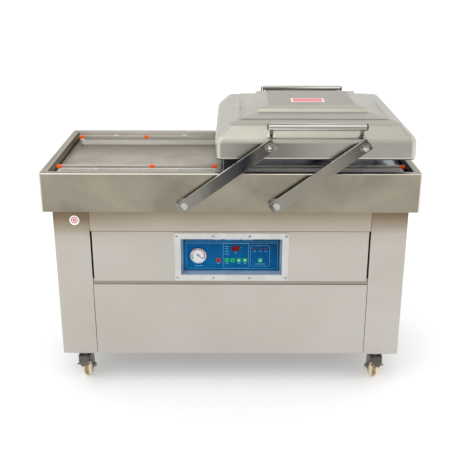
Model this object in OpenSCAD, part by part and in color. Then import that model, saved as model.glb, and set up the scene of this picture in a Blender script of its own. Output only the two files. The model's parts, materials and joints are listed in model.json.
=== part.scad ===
// Double-chamber vacuum packing machine on casters.
// One lid swings on four parallel rocker arms from the left chamber to the right one.
// Millimetres. X to the right, Y to the back, Z up. Origin on the floor, under the middle.

/* [Table] */
// Width of the table top
table_w = 1250; // [1240:2:1270]
// Depth of the table top
table_d = 615; // [611:1:625]
// Height of the rim above the floor
rim_z = 795; // [790:1:800]
// Height of the folded apron round the table
apron_h = 132; // [126:1:134]
// Width of the flat land between a well and the table's edge
rim_land = 22; // [20:1:23]
// Width of the land between the two wells
centre_land = 50; // [46:1:54]
// Depth of each well below the rim
well_depth = 85; // [80:1:85]
// Height of the rim above the work plates
plate_drop = 30; // [28:1:34]

/* [Body] */
// Width of the cabinet under the table
body_w = 1194; // [1184:2:1200]
// How far the cabinet stands back from the apron
body_inset = 33; // [28:1:36]
// Clearance between the floor and the cabinet
body_bottom = 118; // [118:1:122]
// Width of the cabinet's corner posts seen from the front
post_w = 122; // [112:1:130]
// Height of the strip above the control fascia
lintel_h = 80; // [74:1:84]
// Height of the control fascia
fascia_h = 183; // [181:1:186]
// Gap between the control fascia and the lower panel
groove_h = 13; // [8:1:16]
// Thickness of the sheet steel
sheet = 2.5; // [1.5:0.5:3]

/* [Controls] */
// Middle of the control panel, to the right of the machine's middle
panel_x = 4; // [-10:1:10]
// Width and height of the panel frame
bezel_size = [388, 174];
// Width and height of the window in the panel frame
window_size = [345, 131];
// Depth of the recess behind the panel frame
recess_depth = 36; // [30:1:40]
// Diameter of the vacuum gauge
gauge_d = 57; // [50:1:60]
// Width of a square key
key_w = 17; // [14:1:18]
// How far a key goes in
key_travel = 1; // [0.5:0.1:1.2]

/* [Lid] */
// Width of the lid
lid_w = 650; // [646:1:652]
// Depth of the lid
lid_d = 611; // [607:1:611]
// Height of the lid's upright skirt
skirt_h = 59.5; // [57:0.5:62]
// Radius of the lid's upright corners
lid_corner = 22; // [18:1:26]
// How far the gasket stands out of the lid
gasket_proud = 4; // [3:0.5:5]

/* [Rocker arms] */
// Distance between an arm's two pivots
arm_length = 340; // [338:1:342]
// Angle of the arms above the horizontal as the machine stands
arm_angle = 36; // [30:1:45]
// Width of an arm
arm_w = 39; // [36:1:42]
// Thickness of an arm
arm_t = 10; // [8:1:11]
// Gap between the apron and an arm
arm_gap = 15; // [13:1:16]
// Sideways distance from the middle to each rocker shaft
pivot_x = 150.5; // [148:0.5:152]
// Depth of the rocker shafts below the rim
pivot_drop = 105; // [104:1:107]
// Height of the lid's pivots above its lower edge
stud_height = 45; // [43:1:47]
// Radius of a rocker shaft
shaft_r = 12.5; // [12:0.5:12.5]

/* [Seal bars] */
// Length of a seal bar between its end clips
bar_length = 498; // [490:1:500]
// Width of a seal bar
bar_w = 13; // [13:1:24]
// Distance from the table's front or back edge to the middle of a bar
bar_setback = 101; // [99:1:103]
// Lift of a seal bar
bar_lift = 8; // [6:1:8]

/* [Casters] */
// Radius of a caster wheel
wheel_r = 38; // [36:1:38]
// Width of a caster wheel
wheel_w = 32; // [28:1:34]
// Distance from the swivel axis back to the wheel's axle
trail = 28; // [24:1:32]
// Sideways distance from the middle to each caster
caster_x = 522; // [512:1:530]

/* [Hidden] */
$fn = 48;
hx = table_w / 2;
hy = table_d / 2;
apron_z = rim_z - apron_h;
body_x = body_w / 2;
body_y = hy - body_inset;
body_top = apron_z + 8;
well_x0 = centre_land / 2;
well_x1 = hx - rim_land;
well_y = hy - rim_land;
well_mid = (well_x0 + well_x1) / 2;
pan_z = rim_z - well_depth;
plate_z = rim_z - plate_drop;
field_h = 0.6;
seam_x = body_x - post_w;
lintel_z = apron_z - lintel_h;
fascia_z = lintel_z - fascia_h;
door_z = fascia_z - groove_h;
pivot_z = rim_z - pivot_drop;
arm_y0 = hy + arm_gap;
arm_y1 = arm_y0 + arm_t;
lid_x = arm_length * cos(arm_angle);
stud_z = pivot_z + arm_length * sin(arm_angle);
lid_z = stud_z - stud_height;
bezel_z = apron_z - 172.5;
panel_y = -body_y + recess_depth;
bar_y = hy - bar_setback;
bar_z = rim_z - 12;
base_z = bar_z - 2;
crank_r = 60;
bore_gap = 0.05;
deck_z = body_bottom + 34;
pump_y = 125;

// The lid's outline steps in from its edge and up from its lower rim, stage by stage.
// Each row is [inset from the edge, height above the lower rim, corner radius].
lid_stages = [
    [0, 0, lid_corner], [0, skirt_h, lid_corner], [43, skirt_h + 44, 10], [83, skirt_h + 52.5, 7],
    [138, skirt_h + 63.5, 6], [147, skirt_h + 75, 6], [180, skirt_h + 80, 6]
];

steel = [0.72, 0.70, 0.66];
bright_steel = [0.80, 0.79, 0.77];
dark_steel = [0.30, 0.31, 0.32];
zinc = [0.66, 0.67, 0.69];
off_white = [0.88, 0.87, 0.83];
panel_blue = [0.0, 0.30, 0.55];
key_green = [0.0, 0.60, 0.32];
key_red = [0.85, 0.18, 0.12];
clip_orange = [1.0, 0.32, 0.06];
wheel_cream = [0.86, 0.74, 0.45];
black = [0.05, 0.05, 0.05];

// ---- helpers ----

// A box from its lowest corner to its highest one.
module slab(low, high) {
    translate(low) cube(high - low);
}

// A rectangle with round corners, about the origin.
module round_rect(w, d, r) {
    square([w - 2 * r, d], center = true);
    square([w, d - 2 * r], center = true);
    for (x = [-1, 1], y = [-1, 1])
        translate([x * (w / 2 - r), y * (d / 2 - r)]) circle(r);
}

// A flat ring between two round rectangles.
module round_ring(w, d, r, wall) {
    difference() {
        round_rect(w, d, r);
        round_rect(w - 2 * wall, d - 2 * wall, max(r - wall, 1));
    }
}

// A cylinder along Y between y0 and y1.
module rod_y(x, z, y0, y1, r) {
    translate([x, y0, z]) rotate([-90, 0, 0]) cylinder(r = r, h = y1 - y0);
}

// A cylinder along X between x0 and x1.
module rod_x(y, z, x0, x1, r) {
    translate([x0, y, z]) rotate([0, 90, 0]) cylinder(r = r, h = x1 - x0);
}

// Children at the front and mirrored at the back.
module front_and_back() {
    children();
    mirror([0, 1, 0]) children();
}

// Children on the right and mirrored on the left.
module right_and_left() {
    children();
    mirror([1, 0, 0]) children();
}

// ---- cabinet ----

module base_frame() color(steel) {
    tube = 30;
    px = body_x - sheet - 4.5;
    py = body_y - sheet - 4;
    gap = 0.2;
    // four corner posts
    right_and_left() front_and_back()
        slab([px - tube, -py, body_bottom + 0.3], [px, -py + tube, pan_z - sheet - 0.3]);
    // long rails low down, under the table, and behind the groove
    front_and_back() {
        for (z = [body_bottom + 0.3, pivot_z - shaft_r - 37])
            slab([-px + tube + gap, -py, z], [px - tube - gap, -py + tube, z + tube]);
    }
    slab([-px + tube + gap, -body_y + 3.5, door_z - 9],
         [px - tube - gap, -body_y + 6, fascia_z + 9]);
    // cross rails
    for (x = [-430, 0, 430])
        slab([x - tube / 2, -py + tube + gap, body_bottom + 0.3],
             [x + tube / 2, py - tube - gap, body_bottom + 0.3 + tube]);
    right_and_left()
        slab([px - tube, -py + tube + gap, body_bottom + 0.3],
             [px, py - tube - gap, body_bottom + 0.3 + tube]);
}

module bottom_plate() color(steel)
    slab([-body_x + 40, -body_y + 40, deck_z - 3.2], [body_x - 40, body_y - 40, deck_z - 0.2]);

// Side panel, bent round the front and back corners.
module side_panel() {
    outer_r = 8;
    translate([0, 0, body_bottom]) linear_extrude(body_top - body_bottom)
        difference() {
            round_ring(body_w, 2 * body_y, outer_r, sheet);
            translate([-body_w, -hy]) square([body_w + seam_x, hy]);
            translate([-body_w, -1]) square([body_w + seam_x + 60, hy]);
        }
}

module left_side_panel() color(steel) mirror([1, 0, 0]) side_panel();

module right_side_panel() color(steel) side_panel();

module rear_panel() color(steel) {
    half = seam_x + 57;
    slot_w = 110;
    difference() {
        slab([-half, body_y - sheet, body_bottom + 1], [half, body_y, body_top]);
        // three columns of air slots
        for (x = [-300, 0, 300], row = [0 : 8])
            slab([x - slot_w / 2, body_y - 2 * sheet, 260 + 22 * row],
                 [x + slot_w / 2, body_y + sheet, 266 + 22 * row]);
        rod_y(-430, 200, body_y - 2 * sheet, body_y + sheet, 12.6);
    }
}

module front_lintel() color(steel)
    slab([-seam_x + 1.5, -body_y, lintel_z + 0.8], [seam_x - 1.5, -body_y + sheet, body_top]);

module control_fascia() color(steel) {
    half = seam_x - 6;
    difference() {
        slab([-half, -body_y + 0.5, fascia_z], [half, -body_y + 0.5 + sheet, lintel_z - 0.8]);
        slab([panel_x - window_size.x / 2 - 4, -hy, bezel_z - window_size.y / 2 - 4],
             [panel_x + window_size.x / 2 + 4, 0, bezel_z + window_size.y / 2 + 4]);
    }
}

module front_lower_panel() color(steel) {
    half = seam_x - 1.5;
    slab([-half, -body_y, body_bottom + 1], [half, -body_y + sheet, door_z]);
    // folded edges along the top and the bottom
    for (z = [body_bottom + 1, door_z - sheet])
        slab([-half, -body_y + sheet, z], [half, -body_y + 3.4, z + sheet]);
}

// ---- table ----

module table_shell() color(steel)
    difference() {
        translate([0, 0, apron_z]) linear_extrude(apron_h) round_rect(table_w, table_d, 10);
        // hollow underside
        translate([0, 0, apron_z - 1]) linear_extrude(apron_h + 1 - 4)
            round_rect(table_w - 2 * sheet, table_d - 2 * sheet, 10 - sheet);
        // the two wells
        right_and_left()
            translate([well_mid, 0, rim_z - 10]) linear_extrude(20)
                round_rect(well_x1 - well_x0, 2 * well_y, 12);
        // holes for the rocker shafts
        right_and_left() rod_y(pivot_x, pivot_z, -hy - 1, hy + 1, shaft_r + 3);
    }

// Welded well, open at the top, with a suction hole in its floor.
module chamber_pan() {
    w = well_x1 - well_x0 - 0.4;
    d = 2 * well_y - 0.4;
    translate([well_mid, 0, pan_z - sheet]) difference() {
        linear_extrude(well_depth + sheet - 0.4) round_rect(w, d, 11.8);
        translate([0, 0, sheet]) linear_extrude(well_depth + sheet)
            round_rect(w - 2 * sheet, d - 2 * sheet, 9.3);
        translate([0, pump_y, -1]) cylinder(r = 16, h = 10);
    }
}

module left_chamber_pan() color(bright_steel) mirror([1, 0, 0]) chamber_pan();

module right_chamber_pan() color(bright_steel) chamber_pan();

// Loose plate on four legs in each well, with a pressed field between the seal bars.
module work_plates() color(bright_steel)
    right_and_left() translate([well_mid, 0, 0]) {
        w = well_x1 - well_x0 - 14;
        d = 2 * well_y - 14;
        translate([0, 0, plate_z - 4]) linear_extrude(4) round_rect(w, d, 6);
        translate([0, 0, plate_z - 1]) linear_extrude(1 + field_h) round_rect(bar_length, 2 * bar_y - 36, 6);
        for (x = [-1, 1], y = [-1, 1])
            translate([x * (w / 2 - 40), y * (d / 2 - 40), pan_z]) cylinder(r = 10, h = plate_z - pan_z - 3);
    }

// ---- seal bars ----

// Housing under each bar: a low block with a raised outer edge and two guide bores.
module bar_base() {
    length = bar_length + 30;
    y0 = -bar_y - 23;
    y1 = -bar_y + 15;
    difference() {
        union() {
            translate([0, 0, plate_z]) linear_extrude(base_z - plate_z) {
                translate([-length / 2 + 10, y0]) square([length - 20, y1 - y0]);
                for (x = [-1, 1])
                    translate([x * (length / 2 - 10), 0]) {
                        translate([-10, y0]) square([20, y1 - y0 - 10]);
                        translate([0, y1 - 10]) circle(10);
                    }
            }
            slab([-length / 2 + 12, y0, base_z - 1], [length / 2 - 12, y0 + 7, rim_z - 5]);
        }
        for (x = [-1, 1])
            translate([x * 190, -bar_y, plate_z + 1]) cylinder(r = 6 + bore_gap, h = 30);
    }
    // two clamp blocks outside the raised edge
    for (x = [-132, 132])
        slab([x - 7, y0 - 10, plate_z], [x + 7, y0 - 0.2, rim_z - 3]);
}

module seal_bar_bases() color(zinc)
    right_and_left() front_and_back() translate([well_mid, 0, 0]) bar_base();

// Moving bar with its two guide pins.
module bar_head() {
    translate([0, -bar_y, bar_z]) linear_extrude(rim_z - bar_z) square([bar_length + 6, bar_w], center = true);
    for (x = [-1, 1])
        translate([x * 190, -bar_y, plate_z + 2]) cylinder(r = 6, h = bar_z - plate_z - 1);
}

module seal_bars() front_and_back() translate([well_mid, 0, 0]) bar_head();

module left_seal_bars() color(off_white) mirror([1, 0, 0]) seal_bars();

module right_seal_bars() color(off_white) seal_bars();

// Heat-proof clips: a block at each end of a bar and a saddle over its middle stretch.
module bar_clips() {
    clip_w = 17.6;
    saddle_x = [52, -12];
    front_and_back() for (x = [-1, 1])
        translate([x * (bar_length / 2 + 12), -bar_y, rim_z - 8])
            linear_extrude(8.5) square([clip_w, bar_w + 3], center = true);
    for (i = [0, 1])
        translate([saddle_x[i], (i * 2 - 1) * bar_y, 0]) difference() {
            slab([-clip_w / 2, -bar_w / 2 - 1.5, rim_z - 7], [clip_w / 2, bar_w / 2 + 1.5, rim_z + 0.5]);
            slab([-clip_w, -bar_w / 2 - 0.05, rim_z - 12], [clip_w, bar_w / 2 + 0.05, rim_z + 0.02]);
        }
}

module left_bar_clips() color(clip_orange) translate([-well_mid, 0, 0]) bar_clips();

module right_bar_clips() color(clip_orange) translate([well_mid, 0, 0]) bar_clips();

// ---- controls ----

module panel_bezel() color(off_white)
    translate([panel_x, -body_y, bezel_z]) rotate([90, 0, 0]) linear_extrude(3) difference() {
        round_rect(bezel_size.x, bezel_size.y, 6);
        square(window_size, center = true);
    }

module panel_screws() color(bright_steel)
    for (i = [0 : 3], z = [-1, 1])
        rod_y(panel_x + (i - 1.5) * 124, bezel_z + z * (bezel_size.y / 2 - 11), -body_y - 5, -body_y - 3.05, 4);

// Tray that carries the membrane panel at its back.
module control_recess_box() color(off_white) {
    w = window_size.x + 4;
    h = window_size.y + 4;
    translate([panel_x, -body_y + 3.2, bezel_z]) rotate([-90, 0, 0]) linear_extrude(recess_depth + 1.4)
        difference() {
            square([w, h], center = true);
            square([w - 2.4, h - 2.4], center = true);
        }
    slab([panel_x - w / 2, panel_y + 3.2, bezel_z - h / 2],
         [panel_x + w / 2, panel_y + 4.6, bezel_z + h / 2]);
}

// Where the keys sit: [x from the panel's middle, height from the bezel's middle].
key_row = -27;
key_places = [-45.5, -16, 4.5, 25.5, 46.5, 99.5];
gauge_place = [-114.5, -8];

module membrane_panel() color(panel_blue)
    difference() {
        slab([panel_x - 166, panel_y, bezel_z - 65.6], [panel_x + 166, panel_y + 3, bezel_z + 65.6]);
        for (x = key_places)
            slab([panel_x + x - key_w / 2 - 0.4, panel_y - 1, bezel_z + key_row - key_w / 2 - 0.4],
                 [panel_x + x + key_w / 2 + 0.4, panel_y + 9, bezel_z + key_row + key_w / 2 + 0.4]);
        rod_y(panel_x + gauge_place.x, bezel_z + gauge_place.y, panel_y - 1, panel_y + 9, 12);
        slab([panel_x + 1, panel_y - 1, bezel_z + 7], [panel_x + 28, panel_y + 4, bezel_z + 26]);
    }

// Gauge: a cup with a dial floor, a rim and a centre spindle.
module vacuum_gauge() color(bright_steel)
    translate([panel_x + gauge_place.x, panel_y, bezel_z + gauge_place.y]) rotate([90, 0, 0]) {
        difference() {
            cylinder(r = gauge_d / 2, h = 9);
            translate([0, 0, 3]) cylinder(r = gauge_d / 2 - 3, h = 7);
        }
        translate([0, 0, 2]) cylinder(r = 1.5, h = 5);
    }

module gauge_needle() color(black)
    translate([panel_x + gauge_place.x, panel_y, bezel_z + gauge_place.y]) rotate([90, 0, 0])
        translate([0, 0, 4.2]) difference() {
            union() {
                cylinder(r = 3.5, h = 1.6);
                rotate([0, 0, -40]) translate([-8, -0.9, 0]) cube([29, 1.8, 1.2]);
            }
            translate([0, 0, -1]) cylinder(r = 1.5 + bore_gap, h = 4);
        }

// Figure display in the membrane's window.
module display_board() color([0.35, 0.05, 0.05])
    slab([panel_x + 1.3, panel_y + 0.4, bezel_z + 7.3], [panel_x + 27.7, panel_y + 3, bezel_z + 25.7]);

// A square key cap that stands proud of the membrane.
module key_cap(i) {
    slab([panel_x + key_places[i] - key_w / 2, panel_y - 1.4, bezel_z + key_row - key_w / 2],
         [panel_x + key_places[i] + key_w / 2, panel_y + 1.4, bezel_z + key_row + key_w / 2]);
}

module power_key() color(key_red) key_cap(0);

module pump_time_key() color(key_green) key_cap(1);

module seal_time_key() color(key_green) key_cap(2);

module up_key() color(key_green) key_cap(3);

module down_key() color(key_green) key_cap(4);

module start_key() color(key_green) key_cap(5);

// ---- machinery inside ----

module vacuum_pump() color([0.20, 0.35, 0.50]) {
    // foot, oil case and pumping cylinder
    slab([72, pump_y - 75, deck_z], [270, pump_y + 75, deck_z + 22]);
    slab([159, pump_y - 80, deck_z + 21], [270, pump_y + 80, deck_z + 150]);
    rod_x(pump_y, deck_z + 90, 72, 160, 70);
    // inlet flange on top
    translate([115, pump_y, deck_z + 155]) cylinder(r = 24, h = 15);
}

module pump_motor() color([0.22, 0.24, 0.27]) {
    rod_x(pump_y, deck_z + 90, -120, 71, 62);
    // cooling fins
    for (i = [0 : 7])
        rod_x(pump_y, deck_z + 90, -100 + i * 18, -96 + i * 18, 68);
    slab([-80, pump_y - 50, deck_z], [30, pump_y + 50, deck_z + 34]);
    slab([-70, pump_y - 30, deck_z + 145], [0, pump_y + 30, deck_z + 175]);
}

module transformers() color([0.45, 0.28, 0.16])
    for (x = [-330, -480]) {
        slab([x - 50, -130, deck_z], [x + 50, -40, deck_z + 100]);
        slab([x - 32, -148, deck_z + 18], [x + 32, -22, deck_z + 82]);
    }

// Suction pipes from the pump to both wells, with a valve on each.
module vacuum_pipes() color(zinc) {
    run_z = 470;
    rod = 14;
    translate([115, pump_y, deck_z + 170.2]) cylinder(r = rod, h = run_z - deck_z - 170.2);
    rod_x(pump_y, run_z, -well_mid - rod, well_mid + rod, rod);
    right_and_left() {
        translate([well_mid, pump_y, run_z]) cylinder(r = rod, h = 60);
        translate([well_mid - 30, pump_y - 90, run_z + 55]) cube([60, 120, 60]);
        translate([well_mid, pump_y, run_z + 110]) cylinder(r = rod, h = pan_z - sheet - 0.4 - run_z - 110);
        translate([well_mid, pump_y - 70, run_z + 110]) cylinder(r = 18, h = 45);
    }
}

module electrical_box() color(off_white)
    translate([-540, 20, deck_z]) difference() {
        cube([180, 190, 240]);
        translate([2, 2, 2]) cube([176, 186, 240]);
    }

module rocker_bearings() color(zinc)
    right_and_left() front_and_back() difference() {
        union() {
            rod_y(pivot_x, pivot_z, -hy + sheet + 0.2, -well_y - 1, 24);
            slab([pivot_x - 45, -hy + sheet + 0.2, pivot_z - 14], [pivot_x + 45, -hy + sheet + 10, pivot_z + 14]);
        }
        rod_y(pivot_x, pivot_z, -hy, -well_y, shaft_r + bore_gap);
    }

// Close-wound tension spring from the deck up to the crank of a rocker shaft.
module balance_spring() {
    coil_r = 18;
    wire_r = 2.5;
    coils = 44;
    tilt = atan(crank_r * cos(arm_angle) / (pivot_z - crank_r * sin(arm_angle) - deck_z - 20));
    length = (pivot_z - crank_r * sin(arm_angle) - deck_z - 20) / cos(tilt);
    coil_h = coils * wire_r * 1.7;
    start = 120;
    translate([0, 0, deck_z + 20]) rotate([0, -tilt, 0]) {
        translate([0, 0, start]) rotate_extrude() {
            for (i = [0 : coils])
                translate([coil_r, i * wire_r * 1.7]) circle(wire_r, $fn = 16);
        }
        // end plates and draw rods
        translate([0, 0, start - 3]) cylinder(r = coil_r, h = 4);
        translate([0, 0, start + coil_h - 1]) cylinder(r = coil_r, h = 4);
        cylinder(r = 3, h = start);
        translate([0, 0, start + coil_h]) cylinder(r = 3, h = length - start - coil_h - 9);
        // eye round the crank pin
        translate([0, 0, length]) rotate([90, 0, 0]) rotate_extrude() translate([8, 0]) circle(2.4);
    }
    translate([-14, -14, deck_z]) cube([28, 28, 21]);
}

module left_balance_spring() color(zinc) translate([-pivot_x, 0, 0]) balance_spring();

module right_balance_spring() color(zinc) translate([pivot_x, 0, 0]) balance_spring();

module cable_gland() color(black)
    difference() {
        union() {
            rod_y(-430, 200, body_y - 12, body_y + 14, 12.4);
            rod_y(-430, 200, body_y + 0.1, body_y + 10, 17);
            rod_y(-430, 200, body_y - 10, body_y - sheet - 0.1, 16);
        }
        rod_y(-430, 200, body_y - 20, body_y + 20, 6.5);
    }

// ---- lid ----

// The lid's stages outside, from the bottom up, and then inside, from the top down.
lid_rows = concat(
    lid_stages,
    [for (i = [len(lid_stages) - 1 : -1 : 0]) let (s = lid_stages[i])
        [s[0] + sheet, i == 0 ? 0 : s[1] - sheet, max(s[2] - sheet, 2)]]
);
corner_steps = 6;

// One round rectangle of the lid, as points, anticlockwise from above.
function lid_ring(row) = [
    for (corner = [0 : 3], step = [0 : corner_steps])
        let (
            turn = 90 * (corner + step / corner_steps),
            x = (corner == 0 || corner == 3 ? 1 : -1) * (lid_w / 2 - row[0] - row[2]),
            y = (corner < 2 ? 1 : -1) * (lid_d / 2 - row[0] - row[2])
        )
        [x + row[2] * cos(turn), y + row[2] * sin(turn), row[1]]
];

// Pressed hood, one closed skin outside and inside.
module lid_shell() color(bright_steel) {
    n = 4 * (corner_steps + 1);
    rows = len(lid_rows);
    top = len(lid_stages) - 1;
    bands = [
        for (k = [0 : rows - 1]) if (k != top) for (j = [0 : n - 1])
            let (a = k * n + j, b = k * n + (j + 1) % n, up = ((k + 1) % rows) * n)
            each [[a, up + j, up + (j + 1) % n], [a, up + (j + 1) % n, b]]
    ];
    caps = [[for (j = [n - 1 : -1 : 0]) top * n + j], [for (j = [0 : n - 1]) (top + 1) * n + j]];
    translate([lid_x, 0, lid_z])
        polyhedron(points = [for (row = lid_rows) each lid_ring(row)], faces = concat(bands, caps));
}

module lid_gasket() color(black)
    translate([lid_x, 0, lid_z - gasket_proud]) linear_extrude(gasket_proud + 7.5)
        round_ring(lid_w - 6, lid_d - 6, 19, 14);

// Folded channel that holds the gasket along the lower edge.
module gasket_channel() color(steel)
    translate([lid_x, 0, lid_z]) {
        translate([0, 0, 7.7]) linear_extrude(2) round_ring(lid_w - 5.6, lid_d - 5.6, 19.2, 16.6);
        translate([0, 0, 1]) linear_extrude(8) round_ring(lid_w - 35, lid_d - 35, 8, 2);
    }

// Tubular handle that stands square off the bevel.
module lid_handle() {
    length = 305;
    reach = 55;
    post_x = 144;
    foot = [12, skirt_h + 12];
    translate([lid_x, -lid_d / 2 + foot.x, lid_z + foot.y]) rotate([45, 0, 0]) {
        rod_x(0, reach, -length / 2, length / 2, 12.5);
        for (x = [-post_x, post_x])
            translate([x, 0, 0.9]) {
                cylinder(r = 7, h = reach - 8);
                cylinder(r = 11, h = 3);
            }
    }
}

module lid_handles() color(bright_steel) front_and_back() lid_handle();

// Silicone-faced counter bars inside the lid, hung from its top.
module lid_seal_strips() color(zinc)
    front_and_back() translate([lid_x, -bar_y, lid_z + 5.2]) {
        translate([-280, -13, 0]) cube([560, 26, 16]);
        for (x = [-200, 0, 200])
            translate([x - 15, -2, 15]) cube([30, 4, 91]);
    }

// Hexagon nut with a domed end, its flat side at the origin.
module dome_nut() {
    intersection() {
        cylinder(r = 13.8, h = 14, $fn = 6);
        cylinder(r1 = 14.5, r2 = 12.8, h = 14);
    }
    translate([0, 0, 13.5]) cylinder(r = 11, h = 4);
    translate([0, 0, 17.4]) intersection() {
        sphere(11);
        cylinder(r = 12, h = 12);
    }
}

// Four studs on the lid: spacer, pin through the arm, washer and domed nut.
module lid_pivot_studs() color(bright_steel)
    front_and_back() for (x = [lid_x - pivot_x, lid_x + pivot_x]) {
        rod_y(x, stud_z, -arm_y0 + 0.3, -lid_d / 2 - 0.05, 14);
        rod_y(x, stud_z, -arm_y1 - 4, -arm_y0 + 1, 8);
        rod_y(x, stud_z, -arm_y1 - 3.3, -arm_y1 - 0.3, 15);
        translate([x, -arm_y1 - 3.2, stud_z]) rotate([90, 0, 0]) dome_nut();
    }

// ---- rockers ----

// The flat on the shaft's end lies this far from its axis.
flat_at = 7;

// Shaft through the cabinet, with a flat under each clamp cap and a crank in the middle.
module rocker_shaft() {
    difference() {
        rod_y(0, 0, -arm_y1, arm_y1, shaft_r);
        front_and_back() rotate([0, -arm_angle, 0])
            slab([-40, -arm_y1 - 1, -20], [-flat_at, -arm_y0, 20]);
    }
    // crank for the balance spring
    rotate([0, -arm_angle, 0]) difference() {
        union() {
            for (y = [-16, 8])
                slab([-crank_r - 9, y, -9], [0, y + 8, 9]);
            rod_y(-crank_r, 0, -16, 16, 4);
        }
        rod_y(0, 0, -20, 20, shaft_r - 0.5);
    }
}

// Flat bar on one end of a shaft, with its clamp cap; pin_gap is the play round the lid's stud.
module rocker_arm(pin_gap) {
    end_gap = 4;
    rotate([0, -arm_angle, 0]) {
        difference() {
            slab([-end_gap, -arm_y1, -arm_w / 2], [arm_length + 20, -arm_y0, arm_w / 2]);
            rod_y(0, 0, -arm_y1 - 1, -arm_y0 + 1, shaft_r + 0.02);
            rod_y(arm_length, 0, -arm_y1 - 1, -arm_y0 + 1, 8 + pin_gap);
        }
        slab([-flat_at - 12, -arm_y1, -arm_w / 2], [-flat_at - 0.02, -arm_y0, arm_w / 2]);
    }
}

module left_rocker_shaft() color(zinc) translate([-pivot_x, 0, pivot_z]) rocker_shaft();

module right_rocker_shaft() color(zinc) translate([pivot_x, 0, pivot_z]) rocker_shaft();

module left_rocker_arms() color(dark_steel)
    translate([-pivot_x, 0, pivot_z]) front_and_back() rocker_arm(bore_gap);

// The right arms have play on their studs: this is where the four-bar loop is left open.
module right_rocker_arms() color(dark_steel)
    translate([pivot_x, 0, pivot_z]) front_and_back() rocker_arm(0.4);

// ---- casters ----

front_caster_y = -244;
rear_caster_y = 205;
fork_top = body_bottom - 8;
pedal_y = -24;
pedal_z = fork_top - 26;

module caster_plates() color(zinc)
    right_and_left() for (y = [front_caster_y, rear_caster_y])
        translate([caster_x, y, 0]) {
            translate([-40, -26, body_bottom - 3.5]) cube([80, 66, 3.5]);
            translate([0, 0, fork_top - 10]) cylinder(r = 6, h = 8 + 7);
        }

// Fork that turns under its plate; the axle runs through both legs.
// A fork with a brake has two ears for the pedal's pin.
module caster_fork(brake = false) color(zinc) {
    leg_x = wheel_w / 2 + 3;
    difference() {
        union() {
            translate([0, 0, fork_top - 6]) cylinder(r = 24, h = 10);
            translate([-leg_x - 3, -18, fork_top - 6]) cube([2 * leg_x + 6, 48, 3]);
        }
        translate([0, 0, fork_top - 20]) cylinder(r = 6 + bore_gap, h = 40);
    }
    for (side = [-1, 1])
        translate([side * (leg_x + 1.5), 0, 0]) {
            hull() {
                translate([-1.5, -14, fork_top - 5]) cube([3, 40, 3]);
                translate([-1.5, trail, wheel_r]) rotate([0, 90, 0]) cylinder(r = 12, h = 3, $fn = 24);
            }
        }
    rod_x(trail, wheel_r, -leg_x - 8, leg_x + 8, 4);
    for (side = [-1, 1])
        rod_x(trail, wheel_r, side * (leg_x + 6.4) - 3.2, side * (leg_x + 6.4) + 3.2, 7);
    if (brake)
        for (side = [-1, 1]) difference() {
            translate([side * (leg_x + 1.5) - 1.5, -30, fork_top - 32]) cube([3, 22, 28]);
            rod_x(pedal_y, pedal_z, -leg_x - 8, leg_x + 8, 3 + bore_gap);
        }
}

module caster_wheel() color(wheel_cream)
    translate([0, trail, wheel_r]) rotate([0, 90, 0]) difference() {
        union() {
            rotate_extrude() {
                translate([0, -wheel_w / 2]) square([wheel_r - 8, wheel_w]);
                translate([wheel_r - 9, -wheel_w / 2 + 3]) square([9, wheel_w - 6]);
            }
            translate([0, 0, -wheel_w / 2 - 2]) cylinder(r = 10, h = wheel_w + 4);
        }
        translate([0, 0, -wheel_w]) cylinder(r = 4 + bore_gap, h = 2 * wheel_w);
    }

// Foot pedal of a wheel brake, hinged on the fork's front edge.
module caster_brake() color(dark_steel) {
    pin_x = wheel_w / 2 + 7;
    slab([-16, -50, fork_top - 18], [16, -21, fork_top - 14]);
    slab([-16, pedal_y - 4, pedal_z], [16, pedal_y + 1, fork_top - 15]);
    rod_x(pedal_y, pedal_z, -pin_x, pin_x, 3);
}

module place_caster(x, y) translate([x, y, 0]) children();

module front_left_fork() place_caster(-caster_x, front_caster_y) caster_fork(true);

module front_left_wheel() place_caster(-caster_x, front_caster_y) caster_wheel();

module front_left_brake() place_caster(-caster_x, front_caster_y) caster_brake();

module front_right_fork() place_caster(caster_x, front_caster_y) caster_fork(true);

module front_right_wheel() place_caster(caster_x, front_caster_y) caster_wheel();

module front_right_brake() place_caster(caster_x, front_caster_y) caster_brake();

module rear_left_fork() place_caster(-caster_x, rear_caster_y) caster_fork();

module rear_left_wheel() place_caster(-caster_x, rear_caster_y) caster_wheel();

module rear_right_fork() place_caster(caster_x, rear_caster_y) caster_fork();

module rear_right_wheel() place_caster(caster_x, rear_caster_y) caster_wheel();

base_frame();
bottom_plate();
left_side_panel();
right_side_panel();
rear_panel();
front_lintel();
control_fascia();
front_lower_panel();
table_shell();
left_chamber_pan();
right_chamber_pan();
work_plates();
seal_bar_bases();
panel_bezel();
panel_screws();
control_recess_box();
membrane_panel();
vacuum_gauge();
display_board();
gauge_needle();
power_key();
pump_time_key();
seal_time_key();
up_key();
down_key();
start_key();
vacuum_pump();
pump_motor();
transformers();
vacuum_pipes();
electrical_box();
rocker_bearings();
left_balance_spring();
right_balance_spring();
cable_gland();
caster_plates();
lid_shell();
lid_gasket();
gasket_channel();
lid_handles();
lid_seal_strips();
lid_pivot_studs();
left_rocker_shaft();
left_rocker_arms();
right_rocker_shaft();
right_rocker_arms();
left_seal_bars();
left_bar_clips();
right_seal_bars();
right_bar_clips();
front_left_fork();
front_left_wheel();
front_left_brake();
front_right_fork();
front_right_wheel();
front_right_brake();
rear_left_fork();
rear_left_wheel();
rear_right_fork();
rear_right_wheel();
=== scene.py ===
"""Looks for a double-chamber vacuum packing machine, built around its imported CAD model."""

import json
import math

import bmesh
import bpy
from mathutils import Matrix, Vector


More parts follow.
